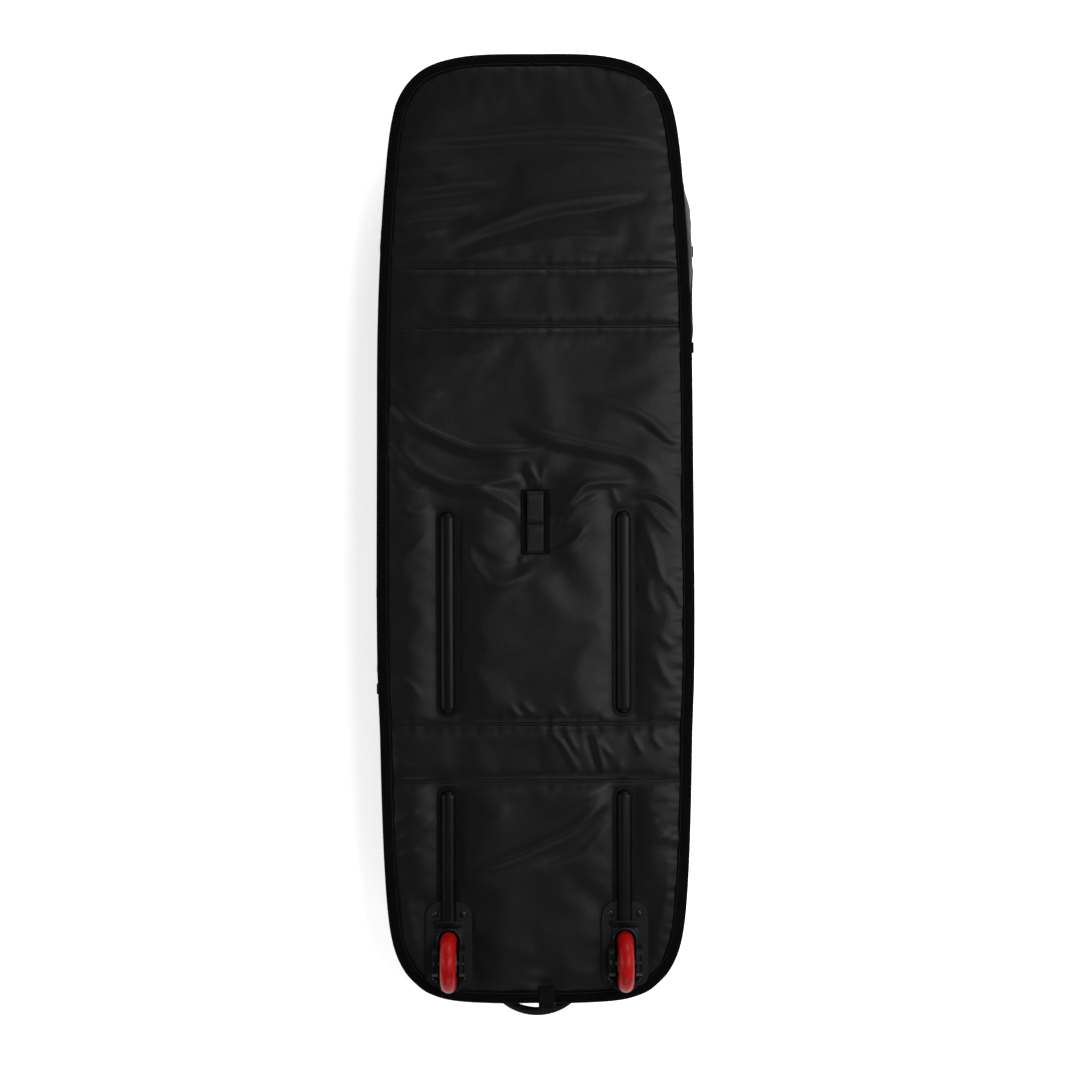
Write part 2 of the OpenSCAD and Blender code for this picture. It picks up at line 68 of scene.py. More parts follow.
PX = 1.52  # mm to a pixel at the back panel
DIST = 2.85
cam_data = bpy.data.cameras.new("camera")
cam = bpy.data.objects.new("camera", cam_data)
scene.collection.objects.link(cam)
cam.location = (-0.0005, -0.0099, BACK_Z * MM + DIST)
cam.rotation_euler = (0, 0, -0.0042)
cam_data.sensor_width = 36
cam_data.lens = 36 * DIST / (1070 * PX * MM)
cam_data.clip_end = 50
scene.camera = cam


def area(name, loc, target, size, power, size_y=None):
    d = bpy.data.lights.new(name, "AREA")
    d.shape = "RECTANGLE"
    d.size = size
    d.size_y = size_y or size
    d.energy = power
    o = bpy.data.objects.new(name, d)
    scene.collection.objects.link(o)
    o.location = loc
    v = np.array(target, float) - np.array(loc, float)
    from mathutils import Vector
    o.rotation_euler = Vector(v).to_track_quat("-Z", "Y").to_euler()
    return o


area("key_right", (1.75, 0.1, 2.6), (0, 0.0, 0.1), 1.2, 100, 2.6)
area("rim_head", (1.2, 3.1, 1.55), (0, 0, 0.1), 1.8, 74, 0.7)
area("fill_left", (-2.8, -0.3, 0.85), (0, 0, 0.0), 0.9, 44, 3.2)
area("fill_foot", (0.5, -3.0, 1.3), (0, 0, 0.0), 2.4, 26, 0.8)
world = bpy.data.worlds.new("studio")
scene.world = world
world.use_nodes = True
world.node_tree.nodes["Background"].inputs[0].default_value = (1, 1, 1, 1)
world.node_tree.nodes["Background"].inputs[1].default_value = 0.3
scene.view_settings.view_transform = "Standard"

# ---- materials -----------------------------------------------------------


class Mat:
    """A small helper round one procedural material."""

    def __init__(self, name, rough, spec=0.5, metal=0.0, **sockets):
        self.m = bpy.data.materials.new(name)
        self.m.use_nodes = True
        self.t = self.m.node_tree
        self.b = self.t.nodes["Principled BSDF"]
        self.b.inputs["Roughness"].default_value = rough
        self.b.inputs["Specular IOR Level"].default_value = spec
        self.b.inputs["Metallic"].default_value = metal
        for k, v in sockets.items():
            self.b.inputs[k.replace("_", " ")].default_value = v
        self.tc = self.t.nodes.new("ShaderNodeTexCoord")
        self.height = None

    def n(self, kind, **k):
        node = self.t.nodes.new(kind)
        for a, v in k.items():
            setattr(node, a, v)
        return node

    def link(self, a, b):
        self.t.links.new(a, b)

    def coords(self, uv, scale):
        mp = self.n("ShaderNodeMapping")
        mp.inputs["Scale"].default_value = scale if isinstance(scale, tuple) else (scale,) * 3
        self.link(self.tc.outputs["UV" if uv else "Object"], mp.inputs["Vector"])
        return mp.outputs[0]

    def noise(self, uv, scale, detail=3, rough=0.55):
        nz = self.n("ShaderNodeTexNoise")
        nz.inputs["Scale"].default_value = 1.0
        nz.inputs["Detail"].default_value = detail
        nz.inputs["Roughness"].default_value = rough
        self.link(self.coords(uv, scale), nz.inputs["Vector"])
        return nz.outputs["Fac"]

    def wave(self, uv, scale, axis, distortion=0.0):
        w = self.n("ShaderNodeTexWave", wave_type="BANDS", bands_direction=axis, wave_profile="SIN")
        w.inputs["Scale"].default_value = 1.0
        w.inputs["Distortion"].default_value = distortion
        self.link(self.coords(uv, scale), w.inputs["Vector"])
        return w.outputs["Fac"]

    def math(self, op, a, b):
        m = self.n("ShaderNodeMath", operation=op)
        for i, v in enumerate((a, b)):
            if isinstance(v, (int, float)):
                m.inputs[i].default_value = v
            else:
                self.link(v, m.inputs[i])
        return m.outputs[0]

    def ramp(self, fac, lo, hi, p0=0.3, p1=0.7):
        r = self.n("ShaderNodeValToRGB")
        r.color_ramp.elements[0].position = p0
        r.color_ramp.elements[1].position = p1
        r.color_ramp.elements[0].color = (*lo, 1)
        r.color_ramp.elements[1].color = (*hi, 1)
        self.link(fac, r.inputs[0])
        return r.outputs[0]

    def color(self, out):
        self.link(out, self.b.inputs["Base Color"])

    def rough(self, fac, lo, hi):
        mr = self.n("ShaderNodeMapRange")
        mr.inputs["To Min"].default_value = lo
        mr.inputs["To Max"].default_value = hi
        self.link(fac, mr.inputs["Value"])
        self.link(mr.outputs[0], self.b.inputs["Roughness"])

    def bump(self, h, dist, strength=1.0):
        bp = self.n("ShaderNodeBump")
        bp.inputs["Distance"].default_value = dist
        bp.inputs["Strength"].default_value = strength
        self.link(h, bp.inputs["Height"])
        if self.height is not None:
            self.link(self.height, bp.inputs["Normal"])
        self.height = bp.outputs[0]
        self.link(bp.outputs[0], self.b.inputs["Normal"])


def weave(m, uv, pitch_mm, dist):
    """Plain weave: two sets of threads that pass over and under."""
    k = 1000 / pitch_mm / 3.1416 / 2 * math.pi * 0.32
    a = m.wave(uv, (k, 0, 0), "X")
    b = m.wave(uv, (0, k, 0), "Y")
    m.bump(m.math("MULTIPLY", a, b), dist)


def coated(name, lo, hi, rough=(0.42, 0.52), spec=0.12):
    m = Mat(name, rough[0], spec)
    big = m.noise(True, 5.0, 4)
    m.color(m.ramp(big, lo, hi))
    m.rough(m.noise(True, 16.0, 5), *rough)
    weave(m, True, 0.9, 0.00003)
    m.bump(m.noise(True, 34.0, 5, 0.6), 0.0016, 0.3)
    m.bump(m.noise(True, (160.0, 120.0, 100.0), 3), 0.0004, 0.4)
    return m.m


M_SHELL = coated("coated_polyester", (0.0009, 0.0009, 0.00095), (0.0018, 0.0018, 0.0019))
M_SIDE = coated("gusset_polyester", (0.0012, 0.0012, 0.00125), (0.0024, 0.0024, 0.0025), (0.42, 0.55))


def cloth_mat(name, lo, hi, pitch, rough=0.82, spec=0.2, dist=0.00025):
    m = Mat(name, rough, spec, Sheen_Weight=0.01, Sheen_Roughness=0.5)
    m.color(m.ramp(m.noise(True, 22.0, 5), lo, hi))
    m.rough(m.noise(True, 60.0, 3), rough - 0.08, min(1.0, rough + 0.08))
    weave(m, True, pitch, dist)
    m.bump(m.noise(True, 300.0, 3), 0.0002, 0.5)
    return m.m


M_LINING = cloth_mat("woven_lining", (0.035, 0.035, 0.038), (0.06, 0.06, 0.064), 1.1, 0.6, 0.3)
M_TAPE = cloth_mat("zip_tape", (0.003, 0.003, 0.003), (0.005, 0.005, 0.005), 0.9, 0.82, 0.08)


def ribbed(name, lo, hi, pitch, dist, rough=0.85, spec=0.03):
    """Grosgrain: ribs that cross the tape, with a fine grain over them."""
    m = Mat(name, rough, spec)
    m.color(m.ramp(m.noise(True, (40.0, 90.0, 10.0), 4), lo, hi))
    m.rough(m.noise(True, 50.0, 3), rough - 0.1, min(1.0, rough + 0.06))
    k = 1000 / pitch * 0.32
    m.bump(m.wave(True, (k, 0, 0), "X", 0.4), dist)
    m.bump(m.noise(True, 400.0, 2), 0.00015, 0.5)
    return m.m


M_BIND = ribbed("grosgrain_binding", (0.0007, 0.0007, 0.00075), (0.0015, 0.0015, 0.0016), 1.3, 0.0003)
M_WEB = ribbed("webbing", (0.0012, 0.0012, 0.0013), (0.0026, 0.0026, 0.0027), 1.8, 0.0004, 0.55, 0.07)
M_TAB = ribbed("tab_webbing", (0.0009, 0.0009, 0.001), (0.0019, 0.0019, 0.002), 1.8, 0.0004, 0.7, 0.045)
M_SATIN = ribbed("satin_webbing", (0.0016, 0.0016, 0.0017), (0.003, 0.003, 0.0031), 1.2, 0.0002, 0.36, 0.13)
M_THREAD = cloth_mat("thread", (0.004, 0.004, 0.004), (0.008, 0.008, 0.008), 0.3, 0.5, 0.2, 0.0001)


def plastic(name, lo, hi, rough, grain=900.0, spec=0.5):
    m = Mat(name, rough, spec)
    m.color(m.ramp(m.noise(False, 30.0, 4), lo, hi))
    m.rough(m.noise(False, (70.0, 14.0, 70.0), 5), rough - 0.07, rough + 0.12)
    m.bump(m.noise(False, grain, 2), 0.00012, 0.6)
    m.bump(m.noise(False, (260.0, 12.0, 260.0), 4, 0.7), 0.00012, 0.35)
    return m.m


M_PLASTIC = plastic("moulded_nylon", (0.0008, 0.0008, 0.0009), (0.0017, 0.0017, 0.0018), 0.36, 900.0, 0.075)
M_HOUSE = plastic("housing_nylon", (0.0020, 0.0020, 0.0021), (0.0034, 0.0034, 0.0035), 0.5, 700.0, 0.115)
M_COIL = plastic("coil_nylon", (0.006, 0.006, 0.006), (0.01, 0.01, 0.01), 0.42)
M_HUB = plastic("hub_nylon", (0.012, 0.012, 0.012), (0.02, 0.02, 0.02), 0.42)
M_BACKING = plastic("backing_sheet", (0.14, 0.14, 0.14), (0.2, 0.2, 0.2), 0.5)


def metal(name, lo, hi, rough):
    m = Mat(name, rough, 0.5, 1.0)
    m.color(m.ramp(m.noise(False, 180.0, 5), lo, hi))
    m.rough(m.noise(False, 260.0, 5), rough - 0.08, rough + 0.16)
    m.bump(m.noise(False, 1400.0, 2), 0.00006, 0.5)
    return m.m


M_ZINC = metal("zinc_plate", (0.13, 0.13, 0.13), (0.28, 0.275, 0.27), 0.34)
M_BLACKSTEEL = metal("black_oxide", (0.012, 0.012, 0.0125), (0.034, 0.034, 0.035), 0.26)
M_BOLT = metal("bolt_steel", (0.02, 0.02, 0.02), (0.06, 0.06, 0.06), 0.4)
M_GUN = metal("gunmetal", (0.07, 0.07, 0.075), (0.17, 0.17, 0.175), 0.34)


def urethane():
    m = Mat("red_urethane", 0.34, 0.09, Coat_Weight=0.015, Coat_Roughness=0.1)
    m.color(m.ramp(m.noise(False, 60.0, 5), (0.17, 0.0009, 0.0013), (0.26, 0.0018, 0.0024)))
    m.rough(m.noise(False, 120.0, 5), 0.26, 0.5)
    m.bump(m.noise(False, 500.0, 3), 0.0001, 0.5)
    return m.m


M_RED = urethane()
floor_m = Mat("studio_floor", 0.9, 0.1)
floor_m.color(floor_m.ramp(floor_m.noise(False, 1.3, 2), (0.9, 0.9, 0.9), (0.92, 0.92, 0.92)))
floor_m.b.inputs["Emission Color"].default_value = (1, 1, 1, 1)
floor_m.b.inputs["Emission Strength"].default_value = 0.5
bm = bmesh.new()
bmesh.ops.create_grid(bm, x_segments=8, y_segments=8, size=12)
me = bpy.data.meshes.new("floor")
bm.to_mesh(me)
bm.free()
me.materials.append(floor_m.m)
floor = bpy.data.objects.new("floor", me)
scene.collection.objects.link(floor)
floor.location = (0, 0, -0.0008)

# ---- mesh helpers ----------------------------------------------------------


def make(name, verts, faces, mats, uv=None, face_mat=None, body=None, slot=None, replaces=(), smooth=True):
    """A mesh from points in mm. uv is one pair in metres for each point."""
    me = bpy.data.meshes.new(name)
    v = np.asarray(verts, float) * MM
    me.from_pydata(v.tolist(), [], [list(map(int, f)) for f in faces])
    for m in mats if isinstance(mats, (list, tuple)) else [mats]:
        me.materials.append(m)
    if face_mat is not None:
        me.polygons.foreach_set("material_index", np.asarray(face_mat, np.int32))
    if uv is not None:
        layer = me.uv_layers.new(name="cloth")
        idx = np.zeros(len(me.loops), np.int32)
        me.loops.foreach_get("vertex_index", idx)
        layer.data.foreach_set("uv", np.asarray(uv, np.float32)[idx].ravel())
    me.polygons.foreach_set("use_smooth", [smooth] * len(me.polygons))
    me.validate()
    me.update()
    o = bpy.data.objects.new(name, me)
    scene.collection.objects.link(o)
    if body:
        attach(o, body)
    if replaces:
        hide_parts(*replaces)
    return o


def grid_faces(n, m, wrap_n, wrap_m, off=0):
    out = []
    for i in range(n if wrap_n else n - 1):
        a, b = i * m, ((i + 1) % n) * m
        for j in range(m if wrap_m else m - 1):
            k = (j + 1) % m
            out.append((off + a + j, off + a + k, off + b + k, off + b + j))
    return out


EDGE = np.array([
    [0, 722], [80, 721], [130, 714], [165, 701], [190, 680], [207, 653], [216, 622], [222, 583],
    [227, 530], [231, 480], [235, 410], [238, 340], [240, 250], [241, 100], [242, -60], [242, -150],
    [241, -230], [238, -310], [236, -400], [233, -490], [229, -560], [224, -608], [216, -643],
    [203, -671], [187, -690], [164, -707], [126, -718], [64, -722], [0, -722]], float)
WALL = np.array([
    [0, 714], [80, 713], [128, 706], [160, 694], [184, 674], [200, 648], [209, 619], [215, 583],
    [221, 530], [227, 480], [232, 410], [232, 340], [232, 250], [232, 100], [232, -60], [232, -150],
    [232, -230], [232, -310], [229, -400], [226, -490], [222, -560], [217, -606], [209, -640],
    [197, -665], [181, -683], [158, -699], [122, -710], [62, -714], [0, -714]], float)


def dense_loop(P, step):
    """Closed smooth loop through the points and their mirror image, evenly spaced."""
    full = np.vstack([P, (P[1:-1] * [-1, 1])[::-1]])
    n = len(full)
    out = []
    for i in range(n):
        a, b, c, d = full[i - 1], full[i], full[(i + 1) % n], full[(i + 2) % n]
        for t in np.linspace(0, 1, 16, endpoint=False):
            out.append(0.5 * (2 * b + (c - a) * t + (2 * a - 5 * b + 4 * c - d) * t * t + (3 * b - a - 3 * c + d) * t ** 3))
    out = np.array(out)
    seg = np.linalg.norm(np.roll(out, -1, 0) - out, axis=1)
    s = np.concatenate([[0], np.cumsum(seg)])
    k = int(round(s[-1] / step))
    want = np.linspace(0, s[-1], k, endpoint=False)
    x = np.interp(want, s, np.append(out[:, 0], out[0, 0]))
    y = np.interp(want, s, np.append(out[:, 1], out[0, 1]))
    p = np.stack([x, y], 1)
    t = np.roll(p, -1, 0) - np.roll(p, 1, 0)
    t /= np.linalg.norm(t, axis=1)[:, None]
    return p, np.stack([t[:, 1], -t[:, 0]], 1), want


def wob(s, seed, *waves):
    """Smooth repeatable wobble along a length in mm: (wavelength, amplitude) pairs."""
    r = np.random.RandomState(seed)
    out = np.zeros_like(np.asarray(s, float))
    for wl, amp in waves:
        for k in (1.0, 1.37, 0.71):
            out = out + amp * 0.5 * np.sin(2 * np.pi * np.asarray(s) * k / wl + r.uniform(0, 6.28))
    return out


def inside(P, pts):
    """Which points lie in the polygon P."""
    x, y = pts[:, 0], pts[:, 1]
    res = np.zeros(len(pts), bool)
    a, b = P, np.roll(P, -1, 0)
    for (x0, y0), (x1, y1) in zip(a, b):
        if y0 == y1:
            continue
        hit = ((y0 > y) != (y1 > y)) & (x < (x1 - x0) * (y - y0) / (y1 - y0) + x0)
        res ^= hit
    return res


def poly_dist(line, pts):
    """Distance from each point to an open polyline, and how far along it (0 to 1) the nearest point is."""
    line = np.asarray(line, float)
    seg = np.linalg.norm(np.diff(line, axis=0), axis=1)
    run = np.concatenate([[0], np.cumsum(seg)])
    best = np.full(len(pts), 1e9)
    along = np.zeros(len(pts))
    side = np.zeros(len(pts))
    for i in range(len(line) - 1):
        a, d = line[i], line[i + 1] - line[i]
        t = np.clip(((pts - a) @ d) / (d @ d), 0, 1)
        q = pts - (a + t[:, None] * d)
        r = np.linalg.norm(q, axis=1)
        m = r < best
        best[m] = r[m]
        along[m] = (run[i] + t[m] * seg[i]) / run[-1]
        side[m] = np.sign(d[0] * q[m, 1] - d[1] * q[m, 0])
    return best, along, side


def smooth_line(line, k=6):
    line = np.asarray(line, float)
    if len(line) < 3:
        return line
    p = np.vstack([2 * line[0] - line[1], line, 2 * line[-1] - line[-2]])
    out = []
    for i in range(1, len(p) - 2):
        a, b, c, d = p[i - 1:i + 3]
        for t in np.linspace(0, 1, k, endpoint=False):
            out.append(0.5 * (2 * b + (c - a) * t + (2 * a - 5 * b + 4 * c - d) * t * t + (3 * b - a - 3 * c + d) * t ** 3))
    out.append(line[-1])
    return np.array(out)


def stitches(name, pts, ups, body, pitch=4.2, length=3.0, r=0.42, mat=None, closed=False):
    """A row of thread stitches lying on a path in mm."""
    pts, ups = np.asarray(pts, float), np.asarray(ups, float)
    if closed:
        pts, ups = np.vstack([pts, pts[:1]]), np.vstack([ups, ups[:1]])
    seg = np.linalg.norm(np.diff(pts, axis=0), axis=1)
    s = np.concatenate([[0], np.cumsum(seg)])
    c = np.arange(pitch / 2, s[-1] - pitch / 2, pitch)

    def at(a, x):
        return np.stack([np.interp(x, s, a[:, k]) for k in range(3)], 1)

    p0, p1, up = at(pts, c - length / 2), at(pts, c + length / 2), at(ups, c)
    d = p1 - p0
    d /= np.linalg.norm(d, axis=1)[:, None]
    sd = np.cross(d, up)
    sd /= np.linalg.norm(sd, axis=1)[:, None]
    up = np.cross(sd, d)
    sides = 5
    V, F, UV = [], [], []
    rings = [(0.0, 0.35, -0.3), (0.22, 1.0, 0.25), (0.78, 1.0, 0.25), (1.0, 0.35, -0.3)]
    for t, k, lift in rings:
        for j in range(sides):
            a = 2 * math.pi * j / sides
            V.append(p0 + (p1 - p0) * t + (sd * math.cos(a) * r * k) + up * (math.sin(a) * r * k * 0.8 + lift * r))
    V = np.stack(V, 1).reshape(-1, 3)
    per = sides * len(rings)
    base = grid_faces(len(rings), sides, False, True) + [tuple(range(sides))[::-1], tuple(range(per - sides, per))]
    F = [tuple(i * per + q for q in f) for i in range(len(c)) for f in base]
    UV = np.stack([np.tile(np.repeat([0, 1, 2, 3], sides), len(c)) * 0.001, np.tile(np.arange(per) % sides, len(c)) * 0.0004], 1)
    return make(name, V, F, mat or M_THREAD, UV, body=body, slot="webbing")


def tube(name, path, radii, mat, body, n=14, up=(0, 0, 1), **k):
    """A swept elliptical tube in mm; radii is (side, up) for each point."""
    path = np.asarray(path, float)
    t = np.gradient(path, axis=0)
    t /= np.linalg.norm(t, axis=1)[:, None]
    sd = np.cross(t, np.asarray(up, float))
    sd /= np.linalg.norm(sd, axis=1)[:, None]
    u = np.cross(sd, t)
    s = np.concatenate([[0], np.cumsum(np.linalg.norm(np.diff(path, axis=0), axis=1))])
    V, UV = [], []
    for i in range(len(path)):
        for j in range(n):
            a = 2 * math.pi * j / n
            V.append(path[i] + sd[i] * math.cos(a) * radii[i][0] + u[i] * math.sin(a) * radii[i][1])
            UV.append((s[i] * MM, j / n * 0.04))
    F = grid_faces(len(path), n, False, True) + [tuple(range(n)), tuple(range(len(V) - n, len(V)))[::-1]]
    return make(name, V, F, mat, UV, body=body, **k)


def cad_copy(node, mat, bevel=0.5, angle=28):
    """The CAD node's own shape with its edges softened."""
    src = NODES[node].data
    bm = bmesh.new()
    bm.from_mesh(src)
    bmesh.ops.remove_doubles(bm, verts=bm.verts, dist=2e-6)
    bmesh.ops.dissolve_limit(bm, angle_limit=math.radians(0.6), verts=bm.verts, edges=bm.edges)
    me = bpy.data.meshes.new(node + "_finished")
    bm.to_mesh(me)
    bm.free()
    me.materials.clear()
    me.materials.append(mat)
    me.polygons.foreach_set("use_smooth", [True] * len(me.polygons))
    o = bpy.data.objects.new(node + "_finished", me)
    scene.collection.objects.link(o)
    if bevel:
        b = o.modifiers.new("soft_edges", "BEVEL")
        b.width = bevel * MM
        b.segments = 2
        b.limit_method = "ANGLE"
        b.angle_limit = math.radians(angle)
        b.harden_normals = True
        b.use_clamp_overlap = True
        me.set_sharp_from_angle(angle=math.radians(angle))
        bpy.context.view_layer.update()
        me2 = bpy.data.meshes.new_from_object(o.evaluated_get(bpy.context.evaluated_depsgraph_get()))
        o.modifiers.clear()
        o.data = me2
    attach(o, BODY_OF[node])
    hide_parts(node)
    return o


def px(points):
    """Points of the back panel's plan, from its 1.52 mm grid."""
    return [((x - 534.5) * PX, (528 - y) * PX) for x, y in points]


# ---- the back panel ----------------------------------------------------------

FOLDS = [397.0, 307.0, -297.0, -384.0]
RAILS = [(-TRACK, 32, -287), (TRACK, 32, -287), (-TRACK, -391, -566), (TRACK, -391, -566)]
edge_p, edge_n, edge_s = dense_loop(EDGE, 4.0)

# Folds of the fabric: (points, height, half-width). A negative height is a valley.
CREASES = [
    ([(396, 383), (422, 391), (442, 393)], 1.8, 7),
    ([(393, 401), (409, 418), (434, 432), (460, 443), (477, 448), (510, 449), (544, 447)], 4.6, 7),
    ([(393, 413), (410, 432), (436, 446), (462, 458), (500, 461)], -2.4, 9),
    ([(396, 443), (413, 462), (420, 468), (442, 479), (467, 485), (495, 481), (520, 479)], 4.8, 7.5),
    ([(398, 458), (418, 482), (445, 494), (470, 500)], -2.2, 9),
    ([(467, 486), (489, 492), (509, 502), (521, 514)], 3.4, 7),
    ([(484, 506), (504, 518), (519, 530)], -2.0, 8),
    ([(514, 421), (534, 431), (560, 439), (590, 446), (622, 453), (642, 462), (657, 477)], 3.6, 9),
    ([(520, 437), (545, 450), (585, 460), (625, 469), (645, 482)], -2.2, 10),
    ([(582, 397), (624, 407), (647, 418), (669, 437), (678, 442)], 3.0, 8),
    ([(640, 424), (662, 442), (677, 449)], -2.4, 6),
    ([(527, 462), (535, 478), (536, 488)], 4.2, 5),
    ([(519, 470), (528, 486)], -2.6, 5),
    ([(543, 467), (540, 486)], 2.2, 4),
    ([(550, 512), (562, 507), (572, 498), (584, 485), (604, 482), (630, 482)], 3.8, 6),
    ([(552, 520), (562, 517), (572, 508)], -2.2, 5),
    ([(559, 527), (567, 514), (580, 504), (600, 494)], 3.0, 6),
    ([(549, 553), (560, 549), (572, 542), (584, 527)], 3.8, 6),
    ([(520, 563), (522, 556), (532, 554)], 2.8, 5),
    ([(462, 549), (477, 569), (490, 582), (510, 580), (524, 572), (533, 566)], 3.8, 8),
    ([(470, 545), (490, 560), (512, 566), (522, 560)], -2.4, 10),
    ([(462, 538), (472, 550)], 2.0, 5),
    ([(612, 489), (617, 504)], 2.6, 4),
    ([(632, 494), (654, 494), (677, 509)], 2.8, 5),
    ([(634, 500), (656, 503), (676, 519)], -2.4, 5),
    ([(642, 502), (657, 519), (672, 534)], 2.6, 5),
    ([(637, 514), (647, 534), (654, 552), (660, 572), (677, 599)], 3.2, 7),
    ([(631, 522), (640, 546), (648, 572)], -2.4, 7),
    ([(647, 577), (647, 597), (655, 613)], 2.4, 7),
    ([(662, 566), (668, 590), (678, 614)], -2.0, 6),
    ([(657, 634), (672, 647)], 2.2, 6),
    ([(654, 655), (664, 676), (677, 690)], 2.0, 7),
    ([(397, 504), (414, 511), (437, 503)], 2.4, 5),
    ([(392, 484), (424, 489)], 2.0, 5),
    ([(396, 560), (412, 548), (430, 530)], 1.6, 8),
    ([(394, 672), (410, 684), (420, 696)], 1.6, 5),
    ([(414, 140), (472, 136), (560, 130), (660, 139)], 2.4, 8),
    ([(403, 152), (460, 147), (534, 143), (610, 145), (670, 152)], -3.4, 8),
    ([(401, 167), (440, 165), (470, 160)], 1.8, 7),
    ([(401, 176), (442, 176)], -2.6, 6),
    ([(398, 190), (440, 186), (500, 178)], 2.2, 7),
    ([(397, 203), (434, 196), (490, 190)], -3.0, 7),
    ([(398, 213), (430, 209), (480, 203)], 2.0, 6),
    ([(398, 224), (424, 220), (472, 216)], -2.8, 6),
    ([(398, 232), (424, 231), (450, 228)], 1.8, 5),
    ([(398, 241), (424, 240)], -2.4, 6),
    ([(462, 232), (500, 220), (535, 207), (580, 199), (640, 192)], 2.6, 9),
    ([(454, 250), (484, 237), (522, 225), (560, 215), (600, 210), (647, 201)], -3.4, 8),
    ([(460, 257), (510, 245), (572, 236), (620, 238)], 2.6, 8),
    ([(510, 262), (534, 255), (572, 254), (622, 260)], -2.0, 7),
    ([(410, 345), (440, 356), (500, 352)], 1.4, 10),
    ([(420, 300), (440, 312), (470, 310)], 1.4, 9),
    ([(544, 725), (560, 740), (572, 760), (577, 776)], 2.6, 5),
    ([(552, 725), (566, 744), (574, 762)], -2.0, 4),
    ([(564, 728), (575, 750)], 2.2, 4),
    ([(592, 733), (597, 750), (602, 770), (601, 780)], 3.2, 4.5),
    ([(586, 735), (590, 752), (595, 768)], -2.2, 4.5),
    ([(594, 735), (610, 756)], 2.4, 4),
    ([(620, 762), (618, 776)], 1.8, 4),
    ([(630, 732), (640, 753)], 2.6, 4),
    ([(650, 735), (660, 748)], 2.2, 4),
    ([(393, 757), (410, 766)], 1.6, 4),
    ([(509, 705), (520, 718)], 2.4, 4),
    ([(520, 702), (532, 712)], 2.0, 4),
    ([(556, 706), (566, 718)], 1.8, 4),
    ([(597, 706), (594, 718)], 2.2, 3.5),
    ([(470, 714), (480, 719)], 1.6, 4),
    ([(617, 792), (597, 808), (572, 828), (547, 840), (520, 853), (490, 863), (470, 868)], 4.6, 9),
    ([(612, 808), (596, 826), (575, 848), (540, 862)], -3.0, 9),
    ([(600, 790), (576, 800), (550, 812)], 1.6, 6),
    ([(470, 834), (490, 822), (505, 806)], 1.6, 9),
    ([(397, 820), (417, 810)], 2.2, 4.5),
    ([(397, 838), (422, 825), (432, 812)], 2.4, 6),
    ([(397, 855), (416, 847)], 2.0, 5),
    ([(642, 848), (652, 840), (667, 833)], 2.6, 5),
    ([(642, 828), (655, 820)], 1.8, 5),
    ([(650, 806), (664, 800)], -1.8, 6),
    ([(668, 850), (664, 900), (650, 950)], 1.6, 7),
    ([(402, 880), (410, 930), (424, 965)], 1.4, 7),
]


